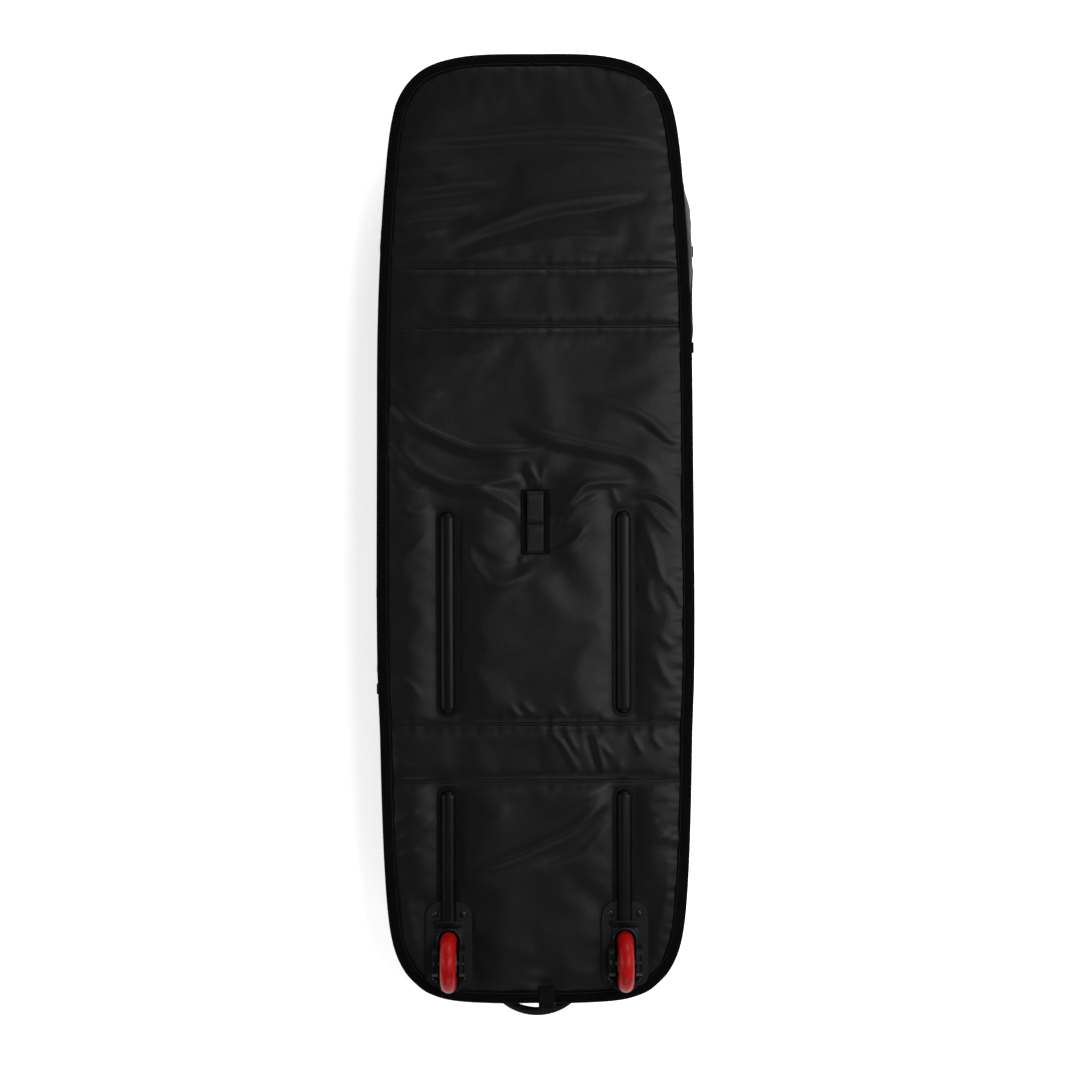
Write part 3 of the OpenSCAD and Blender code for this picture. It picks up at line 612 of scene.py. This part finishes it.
def panel_height(pts, d_edge, s_edge, strength=1.0):
    """Height of the padded face over its base plane, in mm."""
    x, y = pts[:, 0], pts[:, 1]
    d_fold = np.min([np.abs(y - f) for f in FOLDS], axis=0)
    d_rail = np.full(len(pts), 1e9)
    for rx, y1, y0 in RAILS:
        dx = np.maximum(np.abs(x - rx) - 16, 0)
        dy = np.maximum(np.maximum(y - (y1 - 6), (y0 + 6) - y), 0)
        d_rail = np.minimum(d_rail, np.hypot(dx, dy))
    d_house = np.full(len(pts), 1e9)
    for rx in (-TRACK, TRACK):
        dx = np.maximum(np.abs(x - rx) - 34, 0)
        dy = np.maximum(np.maximum(y - (AXLE_Y + 86), (AXLE_Y - 44) - y), 0)
        d_house = np.minimum(d_house, np.hypot(dx, dy))
    d_patch = np.hypot(np.maximum(np.abs(x) - 21, 0), np.maximum(np.abs(y - 10) - 48, 0))
    h = 7.0 * (1 - np.exp(-np.maximum(d_edge - 15, 0) / 21))
    h *= 1 - 0.84 * np.exp(-(d_fold / 7.5) ** 1.3)
    hard = (1 - np.exp(-(d_rail / 20) ** 1.4)) * (1 - np.exp(-(d_house / 22) ** 1.4))
    h *= hard
    h *= 1 - 0.87 * np.exp(-(d_patch / 24) ** 2)
    soft = np.clip(hard, 0, 1) * np.clip(d_patch / 6, 0, 1) * (1 - np.exp(-(d_fold / 5) ** 2)) * np.clip((d_edge - 15) / 9, 0, 1)
    add = np.zeros(len(pts))
    for line, amp, w in CREASES:
        q = smooth_line(px(line))
        d, t, side = poly_dist(q, pts)
        taper = np.clip(np.minimum(t, 1 - t) * 5, 0, 1) ** 0.7
        ww = w * PX * 0.66 * np.where(side > 0, 0.75, 1.2)
        add += (0.95 if amp > 0 else 0.85) * amp * np.exp(-(d / ww) ** 2) * (0.2 + 0.8 * taper)
    h += add * soft * strength
    # Small folds that run out from the patch and from the seams
    r = np.hypot(x, (y - 15) * 0.8)
    ang = np.arctan2(y - 15, x)
    star = np.sin(ang * 9 + 0.9 * np.sin(r / 40.0) + 1.3) * np.exp(-((r - 95) / 55) ** 2)
    h += 0.8 * star * soft * strength
    h += 1.3 * np.sin(x / 47.0 + 0.7 * np.sin(y / 60.0)) * np.sin(y / 71.0 + 0.4) * soft * strength
    pk = wob(s_edge, 5, (31, 0.8), (17, 0.55), (63, 0.6))
    amp = 0.45 + 0.6 * np.clip(x / 200, 0, 1) + 0.4 * (wob(s_edge, 9, (400, 1.0)) > 0)
    h += pk * amp * np.exp(-np.maximum(d_edge - 17, 0) / 11) * np.clip((d_edge - 15) / 5, 0, 1) * hard
    sp = wob(x, 12, (26, 0.7), (15, 0.45))
    for f, a in ((397, 0.35), (307, 0.45), (-297, 1.15), (-384, 0.4)):
        dd = np.abs(y - f)
        h += sp * a * (0.6 + 0.5 * (x > 0)) * np.exp(-((dd - 8) / 7) ** 2) * hard
    h -= 1.6 * np.exp(-(d_fold / 3.0) ** 2) * hard
    h -= 5.5 * np.exp(-(((x - 2) / 24) ** 2 + ((y + 686) / 15) ** 2))
    h += wob(x * 0.6 + y * 0.35, 3, (150, 0.35)) * soft + wob(y - 0.4 * x, 4, (95, 0.3)) * soft
    return h


def near_edge(pts):
    d = np.full(len(pts), 1e9)
    s = np.zeros(len(pts))
    for i in range(0, len(pts), 4000):
        q = pts[i:i + 4000]
        r = np.linalg.norm(q[:, None, :] - edge_p[None], axis=2)
        k = r.argmin(1)
        d[i:i + 4000] = np.abs(((q - edge_p[k]) * edge_n[k]).sum(1))
        s[i:i + 4000] = edge_s[k]
    return d, s


def masked_grid(step, margin):
    xs = np.arange(-246, 246.1, step)
    ys = np.arange(-726, 726.1, step)
    X, Y = np.meshgrid(xs, ys, indexing="ij")
    pts = np.stack([X.ravel(), Y.ravel()], 1)
    ok = inside(edge_p + edge_n * margin, pts)
    F = [f for f in grid_faces(len(xs), len(ys), False, False) if ok[list(f)].all()]
    used = np.unique(np.array(F))
    remap = np.full(len(pts), -1)
    remap[used] = np.arange(len(used))
    return pts[used], [tuple(remap[list(f)]) for f in F]


def relax(o, held, frames=12, pressure=0.5, cap=1.3, shrink=-0.0035):
    """Cloth simulation of a padded face: held points stay, the rest swells and buckles a little."""
    me = o.data
    rest = np.zeros(len(me.vertices) * 3)
    me.vertices.foreach_get("co", rest)
    rest = rest.reshape(-1, 3)
    g = o.vertex_groups.new(name="held")
    g.add([int(i) for i in np.nonzero(held)[0]], 1.0, "REPLACE")
    m = o.modifiers.new("cloth", "CLOTH")
    st = m.settings
    st.quality = 5
    st.mass = 0.25
    st.tension_stiffness = 22
    st.compression_stiffness = 22
    st.shear_stiffness = 8
    st.bending_stiffness = 5.0
    st.vertex_group_mass = "held"
    st.use_pressure = True
    st.uniform_pressure_force = pressure
    st.shrink_min = shrink
    st.effector_weights.gravity = 0
    m.collision_settings.use_collision = False
    m.point_cache.frame_start = 1
    m.point_cache.frame_end = frames
    for f in range(1, frames + 1):
        scene.frame_set(f)
    ev = o.evaluated_get(bpy.context.evaluated_depsgraph_get())
    new = np.zeros(len(rest) * 3)
    ev.data.vertices.foreach_get("co", new)
    new = new.reshape(-1, 3)
    o.modifiers.clear()
    scene.frame_set(1)
    d = np.nan_to_num(new - rest)
    e = np.zeros(len(me.edges) * 2, np.int32)
    me.edges.foreach_get("vertices", e)
    e = e.reshape(-1, 2)
    deg = np.bincount(e.ravel(), minlength=len(rest))[:, None]
    for k in range(3):
        acc = np.zeros_like(d)
        np.add.at(acc, e[:, 0], d[e[:, 1]])
        np.add.at(acc, e[:, 1], d[e[:, 0]])
        d = np.where(held[:, None], 0, 0.4 * d + 0.6 * acc / np.maximum(deg, 1))
    d *= 0.6
    L = np.linalg.norm(d, axis=1)[:, None]
    d *= np.minimum(1, cap * MM / np.maximum(L, 1e-9))
    me.vertices.foreach_set("co", (rest + d).ravel())
    me.update()


def subdivide(o):
    m = o.modifiers.new("smooth", "SUBSURF")
    m.levels = m.render_levels = 1
    bpy.context.view_layer.update()
    me = bpy.data.meshes.new_from_object(o.evaluated_get(bpy.context.evaluated_depsgraph_get()))
    o.modifiers.clear()
    o.data = me


wall_p, wall_n, wall_s = dense_loop(WALL, 7.0)


def build_panel(name, base_z, lining_z, up, creases, body, cut, replaces):
    """A padded panel: the outer face is pressed out from base_z, and the lining closes it."""
    step = 4.2
    pts, F = masked_grid(step, 7)
    d, s = near_edge(pts)
    h = panel_height(pts, d, s, creases)
    if up < 0:
        h = np.minimum(h, 6.0) - 6.0
        h = -h
    V = np.column_stack([pts, base_z + up * h if up > 0 else base_z + h])
    top = make(name, V, F if up > 0 else [f[::-1] for f in F], M_SHELL, pts * MM)
    if up > 0:
        d_fold = np.min([np.abs(pts[:, 1] - f) for f in FOLDS], axis=0)
        held = (d < 21) | (d_fold < 4)
        for rx, y1, y0 in RAILS:
            held |= (np.abs(pts[:, 0] - rx) < 19) & (pts[:, 1] < y1 + 3) & (pts[:, 1] > y0 - 3)
        for rx in (-TRACK, TRACK):
            held |= (np.abs(pts[:, 0] - rx) < 38) & (pts[:, 1] < AXLE_Y + 92) & (pts[:, 1] > AXLE_Y - 60)
        held |= (np.abs(pts[:, 0]) < 24) & (np.abs(pts[:, 1] - 10) < 52)
        relax(top, held)
    subdivide(top)
    me = top.data
    co = np.zeros(len(me.vertices) * 3)
    me.vertices.foreach_get("co", co)
    co = co.reshape(-1, 3) / MM
    faces = [tuple(p.vertices) for p in me.polygons]
    if cut:
        keep = []
        for f in faces:
            c = co[list(f), :2].mean(0)
            dx = min(abs(c[0] - TRACK), abs(c[0] + TRACK))
            yy = c[1] - AXLE_Y
            yc = min(max(yy, -45.5 + 17), 47 - 17)
            if math.hypot(dx, yy - yc) > 17:
                keep.append(f)
        faces = keep
    n = len(co)
    lp, lF = masked_grid(9.0, 2.0)
    # The lining's edge is drawn in to the inside of the wall, so that it ends on a clean line.
    loop = wall_p + wall_n * 3.4
    out = ~inside(loop, lp)
    k = np.linalg.norm(lp[out][:, None, :] - loop[None], axis=2).argmin(1)
    lp[out] = loop[k]
    fa = np.array([abs(sum(lp[f[i]][0] * lp[f[(i + 1) % 4]][1] - lp[f[(i + 1) % 4]][0] * lp[f[i]][1] for i in range(4))) / 2 for f in lF])
    lF = [f for f, a in zip(lF, fa) if a > 1.0]
    ld, ls = near_edge(lp)
    lz = lining_z - up * (1.2 * (1 - np.exp(-np.maximum(ld - 14, 0) / 20)) + 0.5 * np.abs(wob(lp[:, 0] + 0.3 * lp[:, 1], 8, (120, 0.5))))
    d_fold = np.min([np.abs(lp[:, 1] - f) for f in FOLDS], axis=0)
    lz += up * 1.4 * np.exp(-(d_fold / 9) ** 2)
    lV = np.column_stack([lp, lz])
    lf = lF[:]
    if cut:
        lf = [f for f in lf if not (min(abs(lp[list(f), 0].mean() - TRACK), abs(lp[list(f), 0].mean() + TRACK)) < 19 and abs(lp[list(f), 1].mean() - AXLE_Y) < 42)]
    lf = [tuple(n + q for q in (f[::-1] if up > 0 else f)) for f in lf]
    old = top
    o = make(name + "_padded", np.vstack([co, lV]), faces + lf, [M_SHELL, M_LINING], np.vstack([co[:, :2], lp]) * MM,
             [0] * len(faces) + [1] * len(lf), body, "shell_fabric", replaces)
    bpy.data.objects.remove(old)
    return o, co[:, :3]


back_nodes = ["back_skin", "foam_head", "foam_spine_upper", "foam_middle", "foam_spine_lower", "foam_foot", "foot_stiffener", "back_lining"]
back_panel, back_co = build_panel("back_panel", BACK_Z - 1.0, BACK_Z - 10.6, 1, 1.0, "back_half", True, back_nodes)
front_panel, front_co = build_panel("front_panel", 0.3, 10.6, -1, 0.3, "front_half", False, ["front_skin", "front_foam_pads", "front_lining"])


def surface_z(co, q, up=True):
    """Height of the finished face under each plan point."""
    out = np.zeros(len(q))
    for i, p in enumerate(q):
        r = np.abs(co[:, 0] - p[0]) + np.abs(co[:, 1] - p[1])
        k = np.argpartition(r, 4)[:4]
        out[i] = co[k, 2].mean()
    return out


def edge_x(y):
    r = edge_p[edge_p[:, 0] > 0]
    o = np.argsort(r[:, 1])
    return float(np.interp(y, r[o, 1], r[o, 0]))


# Sewn fold seams: a raised welt with a row of stitches on each side.
for k, f in enumerate(FOLDS):
    half = edge_x(f) - 15
    xs = np.linspace(-half, half, 150)
    drift = wob(xs, 30 + k, (260, 0.8), (90, 0.35))
    z = surface_z(back_co, np.column_stack([xs, f + drift]))
    z = np.convolve(np.pad(z, 3, mode="edge"), np.ones(7) / 7, "valid")
    path = np.column_stack([xs, f + drift, z + 0.1])
    tube(f"fold_welt_{k}", path, [(2.1, 1.5)] * len(xs), M_SHELL, "back_half", 10, slot="shell_fabric")
    for sgn in (-1, 1):
        p = path + [0, 3.6 * sgn, 0.2]
        p[:, 2] = surface_z(back_co, p[:, :2]) + 0.25
        stitches(f"fold_stitch_{k}_{'lo' if sgn < 0 else 'hi'}", p, np.tile([0, 0, 1.0], (len(xs), 1)), "back_half")

# ---- binding ------------------------------------------------------------------


def binding(name, z_face, up, body, node):
    sec = [(19.0, 0.2), (18.6, 1.3), (17.2, 1.9), (13.0, 2.2), (8.0, 2.4), (4.0, 2.0), (1.4, 0.7), (0.2, -1.4),
           (0.0, -3.5), (0.3, -5.6), (1.6, -7.0), (5.0, -7.4), (10.5, -7.4), (12.5, -6.6), (12.5, -3.5), (16.0, -0.8)]
    n, m = len(edge_p), len(sec)
    run = np.concatenate([[0], np.cumsum(np.linalg.norm(np.diff(np.array(sec), axis=0), axis=1))])
    V = np.zeros((n, m, 3))
    UV = np.zeros((n, m, 2))
    seed = 40 if up > 0 else 50
    w_in = wob(edge_s, seed, (70, 0.5), (210, 0.7))
    zz = wob(edge_s, seed + 1, (48, 0.35), (130, 0.5))
    for j, (d, z) in enumerate(sec):
        dd = d + (w_in if d > 12.6 else 0)
        q = edge_p + edge_n * (np.zeros(n) + dd)[:, None]
        V[:, j, :2] = q
        lift = zz * (1 if 0 < z else 0)
        V[:, j, 2] = z_face + up * (z * (1.0 if up > 0 else 0.33) + (lift if up > 0 else 0)) if z > 0 or up > 0 else z_face + up * z
        UV[:, j] = np.column_stack([edge_s * MM, np.full(n, run[j] * MM)])
    F = grid_faces(n, m, True, True)
    if up > 0:
        F = [f[::-1] for f in F]
    o = make(name, V.reshape(-1, 3), F, M_BIND, UV.reshape(-1, 2), body=body, slot="binding", replaces=[node])
    p = np.column_stack([edge_p + edge_n * 16.0, z_face + up * ((1.95 if up > 0 else 0.7) + (zz if up > 0 else 0)) * np.ones(n)])
    stitches(name + "_stitch", p, np.tile([0, 0, float(up)], (n, 1)), body, 4.0, 2.9, 0.38, closed=True)
    return o


binding("back_binding_tape", BACK_Z, 1, "back_half", "back_binding")
binding("front_binding_tape", 0.8, -1, "front_half", "front_binding")

# ---- gusset ---------------------------------------------------------------------



def left_side(p, a=410.0, b=-310.0):
    return (p[:, 0] < 0) & (p[:, 1] < a) & (p[:, 1] > b)


# Centre, height and half height of the part of the wall that lies behind each handle.
BEHIND = [((0, -714), 105, 34), ((0, 714), 101, 28), ((-232, -172), 101, 28), ((232, 352), 101, 28)]


def behind_handle(p, z):
    """1 where the wall is held flat behind a handle, 0 elsewhere."""
    m = np.zeros(len(p))
    for c, zc, hw in BEHIND:
        m = np.maximum(m, np.exp(-(np.linalg.norm(p - np.array(c), axis=1) / 90) ** 8) * np.exp(-((z - zc) / hw) ** 6))
    return m


def gusset(name, z_lo_zip, z_lo_left, z_hi, body, nodes, bulge, seed):
    """Padded side wall: it swells between its seams, with an outer face and a lined inner face."""
    n, rows = len(wall_p), 21
    lft = left_side(wall_p)
    lo = np.where(lft, z_lo_left[0], z_lo_zip[0])
    hi = np.where(lft, z_lo_left[1], z_lo_zip[1]) if z_hi is None else np.full(n, z_hi)
    extra = np.where(wall_p[:, 0] > 0, 9.0 * np.exp(-((wall_p[:, 1] - 440) / 95.0) ** 4), 0)
    extra = extra * (1 if bulge > 5 else 0.3)
    V, UV = [], []
    for side in (0, 1):
        for r in range(rows):
            t = r / (rows - 1)
            prof = math.sin(math.pi * t) ** 0.8
            wr = wob(wall_s + 25 * t * math.sin(3 * t + seed), seed, (64, 0.9), (29, 0.5)) * prof
            wr += wob(wall_s, seed + 3, (190, 1.0)) * math.sin(2 * math.pi * t)
            if side == 0:
                out = ((bulge + extra) * prof + wr) * (1 - 0.97 * behind_handle(wall_p, lo + (hi - lo) * t))
            else:
                out = -5.0 - 0.9 * prof + 0.25 * wr
            V.append(np.column_stack([wall_p - wall_n * out[:, None], lo + (hi - lo) * t]))
            UV.append(np.column_stack([wall_s * MM, np.full(n, t * 0.09)]))
    V, UV = np.array(V), np.array(UV)
    order = list(range(rows)) + [rows + r for r in range(rows)][::-1]
    V, UV = V[order].transpose(1, 0, 2), UV[order].transpose(1, 0, 2)
    m = len(order)
    F = grid_faces(n, m, True, True)
    fm = [0 if (i % m) < rows - 1 else 1 for i in range(len(F))]
    o = make(name, V.reshape(-1, 3), F, [M_SIDE, M_LINING], UV.reshape(-1, 2), fm, body, "shell_fabric", nodes)
    return o


FT_LO = ZIP_Z - 13.0
BT_HI = ZIP_Z + 13.0
gusset("back_gusset_wall", (BT_HI, None), (ZIP_Z + 3.0, None), BIND_BOT + 0.3, "back_half",
       ["back_gusset_left", "back_gusset_right", "back_gusset_head", "back_gusset_foot"], 6.0, 60)
gusset("front_gusset_wall", (7.5, FT_LO), (7.5, ZIP_Z - 3.0), None, "front_half",
       ["front_gusset_left", "front_gusset_right", "front_gusset_head", "front_gusset_foot"], 2.6, 70)

# A strip of fabric hinge along the left side.
sel = np.nonzero(left_side(wall_p, 408, -308))[0]
sel = sel[np.argsort(wall_p[sel, 1])]
hp, hn = wall_p[sel], wall_n[sel]
rows = 15
V, UV = [], []
for i in range(len(sel)):
    for side in (0, 1):
        for r in (range(rows) if side == 0 else range(rows - 1, -1, -1)):
            t = r / (rows - 1)
            z = ZIP_Z - 9 + 18 * t
            out = (0.9 + 0.5 * math.sin(math.pi * t)) if side == 0 else -1.2
            V.append([*(hp[i] - hn[i] * out), z])
            UV.append((hp[i][1] * MM, t * 0.02))
F = grid_faces(len(sel), 2 * rows, False, True)
hinge = make("fabric_hinge", V, F, M_SIDE, UV, slot="shell_fabric")
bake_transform(hinge)

# ---- zip --------------------------------------------------------------------------

zsel = ~left_side(wall_p)
start = np.nonzero(zsel & ~np.roll(zsel, 1))[0][0]
zi = [(start + i) % len(wall_p) for i in range(int(zsel.sum()))]
zp, zn = wall_p[zi], wall_n[zi]
zs = np.concatenate([[0], np.cumsum(np.linalg.norm(np.diff(zp, axis=0), axis=1))])
for name, z0, z1, body, node in (("zip_tape_lower", FT_LO - 3, ZIP_Z - 3.4, "front_half", "zip_tape_front"),
                                 ("zip_tape_upper", ZIP_Z + 3.4, BT_HI + 3, "back_half", "zip_tape_back")):
    V, UV = [], []
    for i in range(len(zp)):
        for out, z, v in ((-1.3, z0, 0), (-1.3, (z0 + z1) / 2, 0.006), (-1.3, z1, 0.012), (-3.1, z1, 0.013), (-3.1, z0, 0.026)):
            V.append([*(zp[i] - zn[i] * out), z])
            UV.append((zs[i] * MM, v))
    make(name, V, grid_faces(len(zp), 5, False, True), M_TAPE, UV, body=body, slot="zip_tape", replaces=[node])
    zc = (z0 + z1) / 2 + (1.5 if body == "back_half" else -1.5)
    stitches(name + "_stitch", np.column_stack([zp + zn * 1.1, np.full(len(zp), zc)]), np.column_stack([-zn, np.zeros(len(zp))]), body, 4.2, 3.0, 0.32)
pitch = 2.6
c = np.arange(pitch, zs[-1] - pitch, pitch)
for name, z0, sgn, body, node in (("zip_teeth_lower", ZIP_Z - 2.2, -1, "front_half", "zip_coil_front"),
                                  ("zip_teeth_upper", ZIP_Z + 2.2, 1, "back_half", "zip_coil_back")):
    cc = c + (0 if sgn < 0 else pitch / 2)
    P = np.column_stack([np.interp(cc, zs, zp[:, k]) for k in (0, 1)])
    N = np.column_stack([np.interp(cc, zs, zn[:, k]) for k in (0, 1)])
    T = np.column_stack([-N[:, 1], N[:, 0]])
    V = []
    for a, h, dep in ((-0.8, 1.15, 2.2), (-0.8, -0.95, 2.2), (0.8, -0.95, 2.2), (0.8, 1.15, 2.2)):
        for out in (-1.0, -3.5):
            k = 0.72 if out < -2 else 1.0
            V.append(np.column_stack([P - N * out + T * a * k, np.full(len(P), z0 + sgn * h * k)]))
    V = np.stack(V, 1).reshape(-1, 3)
    base = [(0, 1, 3, 2), (2, 3, 5, 4), (4, 5, 7, 6), (6, 7, 1, 0), (0, 2, 4, 6), (1, 7, 5, 3)]
    F = [tuple(i * 8 + q for q in f) for i in range(len(P)) for f in base]
    make(name, V, F, M_COIL, np.zeros((len(V), 2)), body=body, slot="zip_coil", replaces=[node])

# ---- hard parts ---------------------------------------------------------------------

for n in ("rail_upper_left", "rail_upper_right", "rail_lower_left", "rail_lower_right"):
    cad_copy(n, M_PLASTIC, 0.8, 22)
for n in ("wheel_housing_left", "wheel_housing_right"):
    cad_copy(n, M_HOUSE, 0.7, 30)
# A rounded bead on the lip of each slot, in glossier plastic whose colour is painted a little lighter than the rails
# as a painted highlight line along the rim.
# Painted highlight: this bead's base colour is lighter than the rail plastic so that the rim reads as a lit line.
M_LIP_HIGHLIGHT = plastic("moulded_lip", (0.0016, 0.0016, 0.0017), (0.003, 0.003, 0.0031), 0.3, 900.0, 0.3)
for side, sx in (("left", -TRACK), ("right", TRACK)):
    a = np.radians(np.linspace(0, 180, 25))
    arch = np.column_stack([17.2 * np.cos(a), 31.2 + 17.2 * np.sin(a)])
    q = np.vstack([[[17.2, -24], [17.2, -10], [17.2, 5], [17.2, 18]], arch, [[-17.2, 18], [-17.2, 5], [-17.2, -10], [-17.2, -24]]])
    tube(f"slot_lip_{side}", np.column_stack([sx + q[:, 0], AXLE_Y + q[:, 1], np.full(len(q), BACK_Z + 8.5)]), [(1.15, 1.1)] * len(q), M_LIP_HIGHLIGHT, "back_half", 10, slot="moulded_plastic")
for n in ("backing_plate_left", "backing_plate_right"):
    cad_copy(n, M_BACKING, 0.5)
cad_copy("housing_screws", M_BLACKSTEEL, 0.2)
cad_copy("rail_screws", M_ZINC, 0.3)
for n in ("axle_bolt_left", "axle_bolt_right", "axle_nuts"):
    cad_copy(n, M_BOLT, 0.3)
for n in ("tyre_left", "tyre_right"):
    cad_copy(n, M_RED, 0)
for n in ("hub_left", "hub_right"):
    cad_copy(n, M_HUB, 0.4)
for n in ("bearings_left", "bearings_right", "bearing_spacers"):
    cad_copy(n, M_ZINC, 0.15)
for n in ("zip_slider_head", "zip_slider_foot", "zip_puller_head", "zip_puller_foot"):
    cad_copy(n, M_GUN, 0.35)

# ---- keeper, pull tab --------------------------------------------------------------


def strap(name, prof, x0, x1, mat, body, replaces, z_scale=1.0):
    """Flat webbing: a closed side profile (y, z) swept across its width, thin at the two edges."""
    prof = np.asarray(prof, float)
    xs = np.concatenate([[x0, x0 + 0.5], np.linspace(x0 + 1.4, x1 - 1.4, 9), [x1 - 0.5, x1]])
    ctr = prof.mean(0)
    run = np.concatenate([[0], np.cumsum(np.linalg.norm(np.diff(prof, axis=0), axis=1))])
    V, UV = [], []
    for i, x in enumerate(xs):
        e = min(x - x0, x1 - x)
        k = 0.55 if e < 0.2 else 0.85 if e < 0.8 else 1.0
        nx = prof.copy()
        nx[:, 1] = ctr[1] + (prof[:, 1] - ctr[1]) * k
        for j, (y, z) in enumerate(nx):
            V.append([x, y, z])
            UV.append((run[j] * MM, (x - x0) * MM))
    m = len(prof)
    F = grid_faces(len(xs), m, False, True) + [tuple(range(m))[::-1], tuple(range(len(V) - m, len(V)))]
    return make(name, V, F, mat, UV, body=body, slot="webbing", replaces=replaces)


cad_copy("keeper_base", M_BIND, 0.5)
kz = BACK_Z + 1.6
strap("keeper_webbing_lower", [(-38, kz + 0.1), (7.8, kz + 0.1), (7.8, kz + 1.0), (6, kz + 1.7), (2, kz + 2.6), (-5, kz + 3.4), (-13, kz + 3.6), (-22, kz + 3.3), (-31, kz + 2.3), (-38, kz + 1)], -12.5, 12.5, M_SATIN, "back_half", ["keeper_webbing"])
fy, fz = 55.0, BACK_Z + 4.1
strap("keeper_flap_upper", [(fy - 1.6, fz - 1.6), (fy + 1.6, fz - 1.6), (fy + 2.1, fz), (fy + 1.2, fz + 1.5), (fy - 1.0, fz + 1.9), (fy - 3.0, fz + 1.2), (fy - 5, fz + 1.7), (fy - 9, fz + 2.6), (fy - 16, fz + 3.3), (fy - 26, fz + 3.4), (fy - 38, fz + 2.6), (fy - 47, fz + 1.5), (fy - 47, fz + 0.9), (fy - 8, fz + 0.9), (fy - 3.4, fz - 0.1)], -12.5, 12.5, M_SATIN, "keeper_flap", ["keeper_flap"])
rect = [(-19, -36), (19, -36), (19, 56), (-19, 56), (-19, -36)]
rp = np.vstack([np.linspace(a, b, 30, endpoint=False) for a, b in zip(rect[:-1], rect[1:])])
stitches("keeper_base_stitch", np.column_stack([rp, np.full(len(rp), kz + 0.15)]), np.tile([0, 0, 1.0], (len(rp), 1)), "back_half", 3.4, 2.4, 0.3)
xs = np.linspace(-11, 11, 12)
stitches("keeper_flap_stitch", np.column_stack([xs, np.full(12, fy - 4.2), np.full(12, fz + 1.75)]), np.tile([0, 0, 1.0], (12, 1)), "keeper_flap", 2.2, 1.7, 0.32)
for y in (-33.0, -30.5):
    xs = np.linspace(-11, 11, 12)
    stitches(f"keeper_bartack_{int(-y * 10)}", np.column_stack([xs, np.full(12, y), np.full(12, kz + 1.9)]), np.tile([0, 0, 1.0], (12, 1)), "back_half", 1.7, 1.5, 0.32)
lo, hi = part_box("foot_pull_tab")
tx0, tx1 = lo.x / MM, hi.x / MM
strap("foot_pull_tab_webbing", [(-696, BACK_Z + 2.4), (-723, BACK_Z + 2.6), (-723.5, BIND_BOT - 0.9), (-715.5, BIND_BOT - 0.9), (-715.5, BIND_BOT - 2.4), (-730, BIND_BOT - 2.4), (-731, BIND_BOT - 1), (-731, BACK_Z + 3), (-729.5, BACK_Z + 4.4), (-697, BACK_Z + 4.0)], tx0, tx1, M_TAB, "back_half", ["foot_pull_tab"])

# ---- handles --------------------------------------------------------------------------

AX = 8.0


def handle(name, mid, turn, sag, drop, body, node):
    half = 58.0
    rc = (half * half + sag * sag) / (2 * sag)
    phi = math.asin(half / rc)
    a = np.linspace(-phi, phi, 44)
    arc = np.column_stack([rc * np.sin(a), rc * np.cos(a) + sag - rc, np.zeros(44)])
    path = np.vstack([[[-82, 0, 0], [-74, 0, 0], [-66, 0.1, 0]], arc, [[66, 0.1, 0], [74, 0, 0], [82, 0, 0]]])
    rad = []
    for p in path:
        e = min(1, max(0, (66 - abs(p[0])) / 22))
        k = e * e * (3 - 2 * e)
        rad.append((3.3 + 3.1 * k, 3.0 + 3.3 * k))
    if drop:
        path = path[:, [0, 2, 1]] * [1, 1, -1]
    c, s = math.cos(math.radians(turn)), math.sin(math.radians(turn))
    R = np.array([[c, -s, 0], [s, c, 0], [0, 0, 1]])
    path = path @ R.T + mid
    up = (0, 0, 1) if not drop else tuple(R @ [0, 1, 0])
    o = tube(name, path, rad, M_WEB, body, 18, up, slot="webbing", replaces=[node])
    inner = path[8:-8]
    u = np.tile(np.array(up, float), (len(inner), 1))
    rr = np.array([r[1] for r in rad[8:-8]])
    stitches(name + "_stitch", inner + u * (rr + 0.05)[:, None], u, body, 3.6, 2.6, 0.34)
    return o


handle("foot_grip", np.array([0, -714 - AX, 105]), 180, 25, False, "handle_foot", "grip_foot")
handle("head_grip", np.array([0, 714 + AX, 116]), 0, 32, True, "handle_head", "grip_head")
handle("left_grip", np.array([-232 - AX, -172, 116]), 90, 32, True, "handle_left", "grip_left")
handle("right_grip", np.array([232 + AX, 352, 116]), -90, 32, True, "handle_right", "grip_right")
cad_copy("handle_anchors", M_BIND, 0.8, 30)
